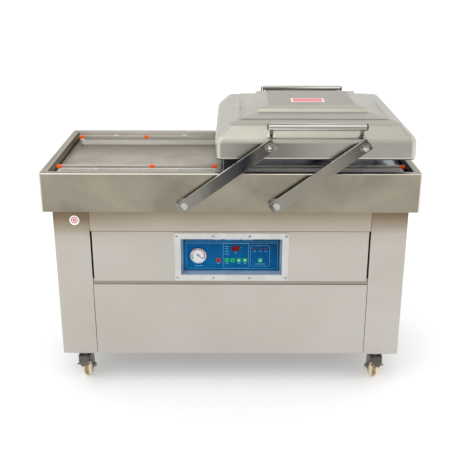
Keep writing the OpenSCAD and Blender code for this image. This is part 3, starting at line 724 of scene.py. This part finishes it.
def add_figure(bm, text, size, at):
    """A printed number, thin and centred."""
    curve = bpy.data.curves.new("figure", "FONT")
    curve.body = text
    curve.size = size
    curve.align_x = "CENTER"
    curve.align_y = "CENTER"
    curve.extrude = 0.03 * MM
    curve.resolution_u = 3
    figure = new_object("figure", curve, at)
    bpy.context.view_layer.update()
    graph = bpy.context.evaluated_depsgraph_get()
    mesh = bpy.data.meshes.new_from_object(figure.evaluated_get(graph))
    mesh.transform(figure.matrix_world)
    bm.from_mesh(mesh)
    bpy.data.meshes.remove(mesh)
    bpy.data.objects.remove(figure)
    bpy.data.curves.remove(curve)


def add_screw(heads, marks, at, radius, height):
    """A pan head, and the dark cross of its recess."""
    add_dome(heads, at, radius, height * 0.7, skirt=height * 0.3)
    top = at[2] + height
    arm = radius * 0.55
    width = radius * 0.13
    for half_x, half_y in ((arm, width), (width, arm)):
        low = (at[0] - half_x, at[1] - half_y, top - 0.5 * MM)
        add_box(marks, low, (at[0] + half_x, at[1] + half_y, top + 0.02 * MM))


def piece(name, bm, finish, body="machine", place=None, edge=0.0, replaced=(), angle=35, at=(0, 0, 0)):
    """A finished piece: its mesh, its material, its body and the CAD nodes that it stands for."""
    bmesh.ops.recalc_face_normals(bm, faces=bm.faces)
    if place is not None:
        bmesh.ops.transform(bm, matrix=place, verts=bm.verts)
    mesh = bpy.data.meshes.new(name)
    bm.to_mesh(mesh)
    bm.free()
    obj = new_object(name, mesh, at)
    if finish in MATERIALS:
        mesh.materials.append(MATERIALS[finish])
    else:
        mesh.materials.append(finish)
    if edge:
        soften(obj, edge)
    else:
        smooth(obj, angle)
    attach(obj, body)
    if replaced:
        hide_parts(*replaced)
    return obj


def size_of(node):
    low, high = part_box(node)
    return high - low


def middle_of(node):
    low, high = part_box(node)
    return (low + high) / 2


def joint_place(name):
    return next(joint for joint in frame["joints"] if joint["name"] == name)["pos_m"]


def drawing_place(node, behind=False, upright=UPRIGHT):
    """Puts a drawing on a node: origin in the middle of its front or back, Z towards the reader."""
    low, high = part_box(node)
    middle = (low + high) / 2
    return move(middle.x, high.y if behind else low.y, middle.z) @ upright


# ---------- CAD nodes that stay ----------

EDGES = {
    0.5 * MM: "panel_bezel left_seal_bars right_seal_bars left_bar_clips right_bar_clips seal_bar_bases"
              " lid_pivot_studs lid_seal_strips electrical_box transformers",
    0.8 * MM: "left_rocker_arms right_rocker_arms work_plates left_chamber_pan right_chamber_pan"
              " control_fascia front_lower_panel front_left_fork front_right_fork rear_left_fork"
              " rear_right_fork caster_plates",
    1.2 * MM: "left_rocker_shaft right_rocker_shaft lid_handles base_frame",
    2.0 * MM: "vacuum_pump pump_motor rocker_bearings vacuum_pipes",
}


def dress_cad_nodes():
    """Each CAD node takes the material of its own slot, and small round edges where it shows."""
    for row in frame["record"]["subparts"]:
        obj = frame["nodes"][row["node"]]
        obj.data.materials.clear()
        obj.data.materials.append(MATERIALS[row["material_slot"]])
    for width, names in EDGES.items():
        for name in names.split():
            weld = frame["nodes"][name].modifiers.new("joined_faces", "WELD")
            weld.merge_threshold = 0.005 * MM
            soften(frame["nodes"][name], width)


# ---------- lid ----------

SHEET = 2.5 * MM
# Each row of the hood: its insets at the sides and the front, its height, and its corners' softness.
HOOD_ROWS = {
    "rim": (0, 0, 0, 0),
    "shoulder": (0, 0, 59.5, 0.50),
    "brow": (43, 43, 103.5, 0.34),
    "step": (138, 138, 123, 0.10),
    "riser": (147, 147, 134.5, 0.10),
    "crown": (180, 180, 139.5, 0.20),
}
# The crease half way up the slopes: its three points at each corner, as insets and height.
CREASE = ((73, 83, 110.5), (85, 83, 112), (95, 83, 113))


def build_hood():
    """Pressed hood with mitred slopes, whose creases are rounded by weighted bevels."""
    low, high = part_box("lid_shell")
    half = (high - low) / 2
    centre = (low + high) / 2
    bm = bmesh.new()
    weights = bm.edges.layers.float.new("bevel_weight_edge")

    def corners(side_inset, front_inset, height):
        x = half.x - side_inset * MM
        y = half.y - front_inset * MM
        z = low.z + height * MM
        return [bm.verts.new((centre.x + sx * x, centre.y + sy * y, z))
                for sx, sy in ((-1, -1), (1, -1), (1, 1), (-1, 1))]

    def crease(loop, weight):
        for a, b in zip(loop, loop[1:] + loop[:1]):
            bm.edges.get((a, b))[weights] = weight

    rows = {name: corners(*values[:3]) for name, values in HOOD_ROWS.items()}
    outer, middle, inner = (corners(*values) for values in CREASE)
    join_rings(bm, [rows["rim"], rows["shoulder"], rows["brow"]])
    join_rings(bm, [rows["step"], rows["riser"], rows["crown"]])
    bm.faces.new(rows["crown"])
    brow, step = rows["brow"], rows["step"]
    for a, b in ((0, 1), (2, 3)):
        bm.faces.new([brow[a], brow[b], outer[b], middle[b], inner[b], inner[a], middle[a], outer[a]])
        bm.faces.new([inner[a], inner[b], step[b], step[a]])
    for a, b in ((1, 2), (3, 0)):
        bm.faces.new([brow[a], brow[b], outer[b], middle[b], middle[a], outer[a]])
        bm.faces.new([middle[a], middle[b], inner[b], step[b], step[a], inner[a]])
    for name, (*_, weight) in HOOD_ROWS.items():
        if weight:
            crease(rows[name], weight)
    for i in range(4):
        for a, b, weight in ((rows["rim"], rows["shoulder"], 0.9), (rows["shoulder"], brow, 0.6),
                             (brow, outer, 0.20), (inner, step, 0.10), (step, rows["riser"], 0.10),
                             (rows["riser"], rows["crown"], 0.10)):
            bm.edges.get((a[i], b[i]))[weights] = weight
    for a, b in ((1, 2), (3, 0)):
        bm.edges.get((middle[a], middle[b]))[weights] = 0.12
    for a, b in ((0, 1), (2, 3)):
        bm.edges.get((inner[a], inner[b]))[weights] = 0.18

    hood = piece("lid_hood", bm, "lid_steel", "lid", replaced=["lid_shell"], angle=180)
    bevel = hood.modifiers.new("pressed_radii", "BEVEL")
    bevel.limit_method = "WEIGHT"
    bevel.width = 26 * MM
    bevel.segments = 6
    bevel.use_clamp_overlap = False
    hood.data.materials.append(LID_INSIDE_SHADE)
    wall = thicken(hood, "sheet", SHEET, -1)
    wall.use_even_offset = True
    wall.material_offset = 1
    keep_faces_flat(hood)


def build_lid_trim():
    """Label without words on the crown, and domed plugs in the ends of the handles."""
    low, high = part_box("lid_shell")
    centre = (low + high) / 2
    bm = bmesh.new()
    add_prism(bm, rounded(113 * MM, 62 * MM, 3 * MM), 0, 0.2 * MM)
    place = move(centre.x - 9 * MM, -45 * MM, high.z)
    piece("lid_label_border", bm, LABEL_WHITE, "lid", place)
    bm = bmesh.new()
    add_prism(bm, rounded(103 * MM, 52 * MM, 2 * MM), 0.2 * MM, 0.3 * MM)
    piece("lid_label", bm, LABEL_RED, "lid", place)

    handle_low, handle_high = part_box("lid_handles")
    reach = 12.5 * MM
    bm = bmesh.new()
    for x, way in ((handle_low.x, -1), (handle_high.x, 1)):
        for y in (handle_low.y + reach, handle_high.y - reach):
            cap = bmesh.new()
            add_dome(cap, (0, 0, 0), 11 * MM, 3.0 * MM, skirt=1.2 * MM)
            merge_into(bm, cap, move(x, y, handle_high.z - reach) @ turn(90 * way, "Y"))
    piece("handle_end_plugs", bm, "gland_black", "lid")


# ---------- table ----------

def build_table():
    """Folded table top: apron, rounded rim, land, and lips that turn down into both wells."""
    low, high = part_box("table_shell")
    width = high.x - low.x
    depth = high.y - low.y
    corner = 12 * MM
    roll = 5 * MM
    lip = 2 * MM
    steps = 5
    bm = bmesh.new()

    def ring(size_x, size_y, radius, z, at=(0, 0)):
        return add_loop(bm, rounded(size_x, size_y, radius, at=at), z)

    rings = [ring(width, depth, corner, low.z), ring(width, depth, corner, high.z - roll)]
    for i in range(1, steps + 1):
        angle = math.radians(90) * i / steps
        inset = roll * (1 - math.cos(angle))
        z = high.z - roll + roll * math.sin(angle)
        rings.append(ring(width - 2 * inset, depth - 2 * inset, corner - inset, z))
    join_rings(bm, rings)
    borders = [rings[-1]]
    for node in ("left_chamber_pan", "right_chamber_pan"):
        pan = size_of(node)
        place = middle_of(node)[:2]
        gap = 0.4 * MM
        holes = []
        for i in range(steps + 1):
            angle = math.radians(90) * i / steps
            spread = lip * (1 - math.sin(angle))
            size = (pan.x + gap + 2 * spread, pan.y + gap + 2 * spread)
            holes.append(ring(*size, corner + spread, high.z - lip + lip * math.cos(angle), place))
        holes.append(ring(pan.x + gap, pan.y + gap, corner, high.z - 4 * lip, place))
        join_rings(bm, holes)
        borders.append(holes[0])
    edges = [bm.edges.get((a, b)) for loop in borders for a, b in zip(loop, loop[1:] + loop[:1])]
    bmesh.ops.triangle_fill(bm, use_beauty=True, edges=edges, normal=(0, 0, 1))
    table = piece("table_top", bm, "table_steel", replaced=["table_shell"], angle=50)
    thicken(table, "sheet", SHEET, -1)
    keep_faces_flat(table)


def build_shaft_collars():
    """Flanged bush round each end of both rocker shafts, against the apron."""
    low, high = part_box("table_shell")
    bore = 12.8
    profile = mm([(bore, 0), (21, 0), (21, 2.4), (20.2, 3.2), (17, 3.4), (16.4, 4), (16.4, 8), (15.6, 8.8),
                  (bore, 8.8)])
    bm = bmesh.new()
    for node in ("left_rocker_shaft", "right_rocker_shaft"):
        axis = joint_place(node.replace("rocker_shaft", "swing"))
        for face, degrees in ((low.y, 90), (high.y, -90)):
            collar = bmesh.new()
            add_turned(collar, profile, segments=40, closed=True)
            merge_into(bm, collar, move(axis[0], face, axis[2]) @ turn(degrees, "X"))
    piece("shaft_collars", bm, "bearing_iron")


def build_seal_tapes():
    """Strip of non-stick cloth on top of each seal bar, raised over the heating band."""
    for side in ("left", "right"):
        low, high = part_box(side + "_seal_bars")
        centre = (low + high) / 2
        clip_low, clip_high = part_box(side + "_bar_clips")
        clip_reach = 18.4 * MM
        length = (clip_high.x - clip_low.x) - 2 * clip_reach
        middle = 6.5 * MM
        tapes = bmesh.new()
        bands = bmesh.new()
        for y in (low.y + middle, high.y - middle):
            profile = mm([(-5.6, 0.04), (-3, 0.08), (-2.6, 0.34), (2.6, 0.34), (3, 0.08), (5.6, 0.04)])
            rings = [[tapes.verts.new((centre.x + x, y + a, high.z + b)) for a, b in profile]
                     for x in (-length / 2, length / 2)]
            for i in range(len(profile) - 1):
                tapes.faces.new([rings[0][i], rings[0][i + 1], rings[1][i + 1], rings[1][i]])
            add_box(bands, (centre.x - length / 2 - 2 * MM, y - 2.4 * MM, high.z + 0.36 * MM),
                    (centre.x + length / 2 + 2 * MM, y + 2.4 * MM, high.z + 0.42 * MM))
        tape = piece(side + "_seal_tapes", tapes, TAPE, side + "_bars", angle=30)
        thicken(tape, "cloth", 0.15 * MM, 1)
        piece(side + "_heating_bands", bands, "zinc_steel", side + "_bars")


# ---------- control panel ----------

KEYS = {"power": "key_red", "pump_time": "key_green", "seal_time": "key_green",
        "up": "key_green", "down": "key_green", "start": "key_green"}
KEY_FIELD = moulded("key_field_green", (0.008, 0.32, 0.13), 0.4, shine=0.15)
KEY_FIELD_RED = moulded("key_field_red", (0.045, 0.010, 0.010), 0.4, shine=0.2)


def build_keys():
    """Domed square keys with a darker field, some with an arrow."""
    up = [(-3.6, -2.6), (3.6, -2.6), (0, 3.4)]
    arrows = {"up": up, "start": up, "down": [(-x, -y) for x, y in up]}
    for name, finish in KEYS.items():
        node = name + "_key"
        low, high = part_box(node)
        place = drawing_place(node)
        body = name + "_button"
        width = high.x - low.x
        bm = bmesh.new()
        add_prism(bm, rounded(width, width, 2 * MM), low.y - high.y, 0)
        cap = piece(name + "_key_cap", bm, finish, body, place, edge=0.5 * MM, replaced=[node])
        cap.modifiers[0].segments = 3
        bm = bmesh.new()
        add_frame(bm, (0, 0), (width, width), 2 * MM, 1.15 * MM, -0.3 * MM, 0.1 * MM)
        edge = piece(name + "_key_edge", bm, "panel_blue", body, place)
        bm = bmesh.new()
        size = (11 if name == "power" else 12.4) * MM
        add_prism(bm, rounded(size, size, 1.4 * MM), 0, 0.15 * MM)
        field = piece(name + "_key_field", bm, KEY_FIELD_RED if name == "power" else KEY_FIELD, body, place)
        bm = bmesh.new()
        if name in arrows:
            add_prism(bm, mm(arrows[name]), 0.15 * MM, 0.25 * MM)
            piece(name + "_key_arrow", bm, ARROW_WHITE, body, place)
        elif name == "power":
            add_sector(bm, 2.5 * MM, 0.7 * MM, 125, 415, 0.15 * MM, 0.25 * MM)
            add_box(bm, (-0.35 * MM, 0, 0.15 * MM), (0.35 * MM, 3.6 * MM, 0.25 * MM))
            piece(name + "_key_mark", bm, LABEL_RED, body, place)
        else:
            bm.free()


def build_prints():
    """Outlines on the membrane. Plain dashes stand where captions would be."""
    place = drawing_place("membrane_panel")
    line = 0.85 * MM
    low, high = 0.0, 0.12 * MM
    bm = bmesh.new()
    boxes = [((1.5, -6.85), (317, 103.1), 2), ((15.3, -11.1), (88.2, 92.4), 2),
             ((98.5, -10.7), (67.5, 77.4), 7)]
    for at, size, radius in boxes:
        add_frame(bm, *mm((at, size)), radius * MM, line, low, high)
    dot_rows = (24, 15, 5.5, -4)
    lamps = mm([(80.1, 16.7), (99.4, 16.7), (118.3, 16.7)])
    dashes = [(1.5, 36.6, 315, 1.1)]
    dashes += [(x, 50.5, w, 5.0) for x, w in ((-49, 26), (3, 50), (55, 40))]
    dashes += [(-114.5, -48, 30, 2.2), (15, 0.5, 6, 1.8), (34, 19, 4, 1.8)]
    dashes += [(-16, z, 13, 1.6) for z in dot_rows]
    dashes += [(x, -39.5, 9, 1.8) for x in (-45.5, -16, 25.5, 46.5)]
    dashes += [(x, 6.5, 8, 1.6) for x in (80.1, 99.4, 118.3)]
    dashes += [(99.5, -41, 38, 1.8)]
    for x, z, width, height in mm(dashes):
        add_prism(bm, rounded(width, height, 0.4 * MM, 2, (x, z)), low, high)
    piece("membrane_prints", bm, PRINT_WHITE, place=place)
    bm = bmesh.new()
    for z in dot_rows:
        add_dome(bm, (-3.3 * MM, z * MM, 0), 1.5 * MM, 0.8 * MM)
    piece("status_dots", bm, PRINT_DARK, place=place)
    bm = bmesh.new()
    for x, z in lamps:
        add_dome(bm, (x, z, 0), 2.9 * MM, 2.0 * MM, skirt=0.8 * MM)
    piece("status_lamps", bm, LAMP_RED, place=place, angle=60)
    bm = bmesh.new()
    for at in lamps:
        add_band(bm, circle(3.9 * MM, 24, at), circle(3.0 * MM, 24, at), 0, 0.9 * MM)
    piece("lamp_rings", bm, PRINT_DARK, place=place)


def build_display():
    """Two unlit figures behind the display's dark red window."""
    place = drawing_place("display_board")
    width, height, stroke = 6.6 * MM, 12.4 * MM, 1.3 * MM
    bm = bmesh.new()
    for x in (-5.6 * MM, 5.6 * MM):
        for z in (-height / 2, height / 2):
            add_prism(bm, rounded(width - stroke, stroke, 0.3 * MM, 2, (x, z)), 0, 0.1 * MM)
        for dx in (-width / 2, width / 2):
            for z in (-height / 4, height / 4):
                add_prism(bm, rounded(stroke, height / 2 - stroke, 0.3 * MM, 2, (x + dx, z)), 0, 0.1 * MM)
    piece("display_figures", bm, DIGIT_RED, place=place)


def build_gauge():
    """Vacuum gauge: chromed case, paper dial with a coloured scale, and a glass."""
    place = drawing_place("vacuum_gauge", behind=True)
    profile = [(0, 0), (28.5, 0), (28.5, 6.8), (28.1, 8.1), (27.2, 8.9), (26.3, 8.9), (25.7, 8.2),
               (25.5, 7.2), (25.5, 3), (0, 3)]
    bm = bmesh.new()
    add_turned(bm, mm(profile), segments=64)
    add_turned(bm, mm([(1.5, 3), (1.5, 6.4), (0, 6.6)]), segments=24)
    piece("gauge_case", bm, "gauge_metal", place=place, replaced=["vacuum_gauge"], angle=40)
    bm = bmesh.new()
    add_turned(bm, mm([(0, 3), (25.3, 3), (25.3, 3.15), (0, 3.15)]), segments=64)
    piece("gauge_dial", bm, DIAL_WHITE, place=place)
    base, top = 3.15 * MM, 3.22 * MM
    start, sweep = 214, 246
    for name, finish, first, last in (("green", SCALE_GREEN, 166, start), ("yellow", SCALE_YELLOW, 142, 165),
                                      ("red", SCALE_RED, start - sweep, 141)):
        bm = bmesh.new()
        add_sector(bm, 22.0 * MM, 4.2 * MM, first, last, base, top)
        piece("gauge_scale_" + name, bm, finish, place=place)
    bm = bmesh.new()
    tick_end = 19.6
    for i in range(31):
        length, width = (4.2, 0.7) if i % 5 == 0 else (2.2, 0.35)
        tick = bmesh.new()
        add_box(tick, ((tick_end - length) * MM, -width / 2 * MM, base), (tick_end * MM, width / 2 * MM, top))
        merge_into(bm, tick, turn(start - sweep * i / 30, "Z"))
    middle = 12.6 * MM
    for i in range(7):
        angle = math.radians(start - sweep * i / 6)
        add_figure(bm, str(i), 3.4 * MM, (middle * math.cos(angle), middle * math.sin(angle), base))
    piece("gauge_figures", bm, PRINT_DARK, place=place)
    bm = bmesh.new()
    add_turned(bm, mm([(0, 7.5), (25.45, 7.5), (25.45, 8.1), (0, 8.5)]), segments=64)
    piece("gauge_glass", bm, GLASS, place=place)
    bm = bmesh.new()
    add_dome(bm, (0, 0, 5.85 * MM), 3.2 * MM, 0.9 * MM)
    piece("gauge_needle_cap", bm, "needle_black", "gauge_pointer", place)


def build_panel_screws():
    """Pan heads with cross recesses round the panel frame."""
    low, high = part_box("panel_screws")
    across = (high.x - low.x - 8 * MM) / 3
    spots = [(low.x + 4 * MM + i * across, z) for i in range(4) for z in (low.z + 4 * MM, high.z - 4 * MM)]
    heads = bmesh.new()
    marks = bmesh.new()
    for x, z in spots:
        add_screw(heads, marks, (x, z, 0), 4 * MM, 1.9 * MM)
    place = move(0, high.y, 0) @ UPRIGHT
    piece("panel_screw_heads", heads, "polished_steel", place=place, replaced=["panel_screws"], angle=60)
    piece("panel_screw_recesses", marks, "needle_black", place=place)


def build_sticker():
    """Round sticker without words on the left post."""
    low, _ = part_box("left_side_panel")
    x, z, radius = -523.6, 622, 17
    place = move(x * MM, low.y, z * MM) @ UPRIGHT
    bm = bmesh.new()
    add_turned(bm, mm([(0, 0), (radius, 0), (radius, 0.15), (0, 0.15)]), segments=48)
    piece("round_sticker", bm, LABEL_WHITE, place=place)
    bm = bmesh.new()
    for radius, width in ((10.0, 2.8), (3.6, 3.5)):
        add_sector(bm, radius * MM, width * MM, 0, 359, 0.15 * MM, 0.22 * MM)
    piece("round_sticker_rings", bm, STICKER_RED, place=place)


# ---------- casters, back and small fittings ----------

def build_wheels():
    """Cast wheels: crowned tread, round shoulders, dished sides and a hub boss."""
    half = [(38, 0), (38, 7), (37.4, 10.5), (35.8, 13.5), (33, 15.4), (30, 16), (25, 15.8), (23.5, 14.6),
            (22, 11.5), (11, 11), (10, 12), (9.4, 16), (8.8, 16.6), (4.2, 16.6)]
    profile = [(r, -h) for r, h in half[:0:-1]] + half
    for corner in CORNERS:
        node = corner + "_wheel"
        bm = bmesh.new()
        add_turned(bm, mm(profile), segments=64, closed=True)
        bmesh.ops.recalc_face_normals(bm, faces=bm.faces)
        bmesh.ops.transform(bm, matrix=SIDEWAYS, verts=bm.verts)
        body = corner + "_roller"
        piece(corner + "_tyre", bm, "wheel_cream", body, at=middle_of(node), replaced=[node], angle=50)


def build_pedals():
    """Folded brake pedals: a sloping tread with cheeks, a wider lip and a small tongue, on the fork's pin."""
    for side in ("front_left", "front_right"):
        low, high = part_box(side + "_brake")
        pin = joint_place(side + "_brake_press")
        centre = (low.x + high.x) / 2
        tread = [(-2.5, 21.5, 16.5), (-6, 20.3, 17), (-15, 14.6, 17), (-16, 13.2, 17), (-25, 8.5, 17),
                 (-29, 5.5, 17), (-29.4, 5.1, 22), (-33, 1.8, 22), (-33.4, 1.4, 7.5), (-34.5, -4, 6.5)]
        bm = bmesh.new()
        rows = [[bm.verts.new((centre + s * w * MM, pin[1] + y * MM, pin[2] + z * MM)) for s in (-1, 1)]
                for y, z, w in tread]
        for a, b in zip(rows, rows[1:]):
            bm.faces.new([a[0], a[1], b[1], b[0]])
        body = side + "_pedal"
        pedal = piece(body + "_tread", bm, "pedal_steel", body, replaced=[side + "_brake"], angle=25)
        thicken(pedal, "sheet", SHEET, 0)
        soften(pedal, 0.6 * MM)

        bm = bmesh.new()
        cheek = [(-4, -3), (4, -3), (4.5, 3), (-1, 20), (-6, 19), (-24, 7.5), (-22, 6), (-6, 8)]
        for x in (-15.5, 13.5):
            add_sideways_prism(bm, mm(cheek), centre + x * MM, centre + (x + 2) * MM, pin[1:])
        rod = bmesh.new()
        profile = [(0, -23.4), (2.4, -23.4), (3, -22.8), (3, 22.8), (2.4, 23.4), (0, 23.4)]
        add_turned(rod, mm(profile), segments=24)
        merge_into(bm, rod, move(centre, pin[1], pin[2]) @ SIDEWAYS)
        piece(body + "_cheeks", bm, "pedal_steel", body)


def build_axle_nuts():
    """Hexagon nut and washer at both ends of each caster's axle."""
    for corner in CORNERS:
        spot = middle_of(corner + "_wheel")
        low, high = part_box(corner + "_fork")
        bm = bmesh.new()
        for end, way in ((low.x, -1), (high.x, 1)):
            nut = bmesh.new()
            add_prism(nut, circle(7.6 * MM, 6), -5.6 * MM, -0.6 * MM)
            add_dome(nut, (0, 0, -0.6 * MM), 4.4 * MM, 2.6 * MM)
            add_turned(nut, mm([(0, -6.6), (9, -6.6), (9, -5.6), (0, -5.6)]), segments=32)
            merge_into(bm, nut, move(end, spot.y, spot.z) @ turn(90 * way, "Y"))
        piece(corner + "_axle_nuts", bm, "zinc_steel", corner + "_swivel", edge=0.3 * MM)


def build_gland():
    """Cable gland with a ribbed cap nut and a short length of grey cable."""
    place = drawing_place("cable_gland", behind=True, upright=BACKWARD)
    bm = bmesh.new()
    ribs = []
    for i in range(72):
        radius = (15.2 if i % 3 else 14.4) * MM
        angle = math.radians(5 * i)
        ribs.append((radius * math.cos(angle), radius * math.sin(angle)))
    ends = [(x * 0.88, y * 0.88) for x, y in ribs]
    rings = [add_loop(bm, ribs, -9.5 * MM), add_loop(bm, ribs, -3 * MM), add_loop(bm, ends, 0)]
    join_rings(bm, rings)
    bm.faces.new(rings[0][::-1])
    hole = add_loop(bm, circle(7.2 * MM, 72), 0)
    depth = add_loop(bm, circle(7.2 * MM, 72), -6 * MM)
    join_rings(bm, [rings[2], hole, depth])
    bm.faces.new(depth)
    add_prism(bm, circle(17 * MM, 6), -13.6 * MM, -9.5 * MM)
    piece("gland_cap", bm, "gland_black", place=place, edge=0.3 * MM)
    bm = bmesh.new()
    add_turned(bm, mm([(0, -6), (6.6, -6), (6.6, 5), (6.2, 5.4), (0, 5.4)]), segments=40)
    piece("cable_stub", bm, CABLE_GREY, place=place, angle=40)


def build_louvres():
    """Pressed hoods over the air slots, and cross-headed screws round the back panel."""
    low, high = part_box("rear_panel")
    bm = bmesh.new()
    bend = [(0, 5.5), (2.6, 5.0), (4.8, 3.4), (6.2, 1.0), (6.6, -2.2), (5.9, -2.2), (5.4, 0.6), (4.2, 2.6),
            (2.2, 4.0), (0, 4.4)]
    half_width, lowest, pitch = 58, 263, 22
    for x in (-300, 0, 300):
        for row in range(9):
            z = (lowest + pitch * row) * MM
            add_sideways_prism(bm, mm(bend), (x - half_width) * MM, (x + half_width) * MM, (high.y, z))
    piece("rear_louvres", bm, "cabinet_steel", angle=50)
    heads = bmesh.new()
    marks = bmesh.new()
    inset = 14 * MM
    for x in (low.x + inset, low.x / 3, high.x / 3, high.x - inset):
        for z in (low.z + inset, high.z - 5 * inset):
            add_screw(heads, marks, (-x, z, 0), 5 * MM, 2.4 * MM)
    place = move(0, high.y, 0) @ BACKWARD
    piece("rear_screw_heads", heads, "polished_steel", place=place, angle=60)
    piece("rear_screw_recesses", marks, "needle_black", place=place)


def build_clamp_screws():
    """Two socket screws sunk in the end of each arm's clamp cap."""
    profile = mm([(0, 0), (3.6, 0), (3.6, 3.2), (3.2, 3.8), (1.9, 3.8), (1.9, 1.6), (0, 1.6)])
    arm = turn(-36, "Y")
    seat = -15.9 * MM
    inset = 5 * MM
    apart = 11 * MM
    for side in ("left", "right"):
        pivot = joint_place(side + "_swing")
        low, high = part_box(side + "_rocker_arms")
        bm = bmesh.new()
        for y in (low.y + inset, high.y - inset):
            for across in (-apart, apart):
                head = bmesh.new()
                add_turned(head, profile, segments=24)
                end = move(pivot[0], y, pivot[2]) @ arm
                merge_into(bm, head, end @ move(seat, 0, across) @ turn(-90, "Y"))
        piece(side + "_clamp_screws", bm, "zinc_steel", side + "_rocker")


make_camera()
make_floor()
make_lights()
dress_cad_nodes()
build_hood()
build_lid_trim()
build_table()
build_shaft_collars()
build_seal_tapes()
build_keys()
build_prints()
build_display()
build_gauge()
build_panel_screws()
build_sticker()
build_wheels()
build_pedals()
build_axle_nuts()
build_gland()
build_louvres()
build_clamp_screws()
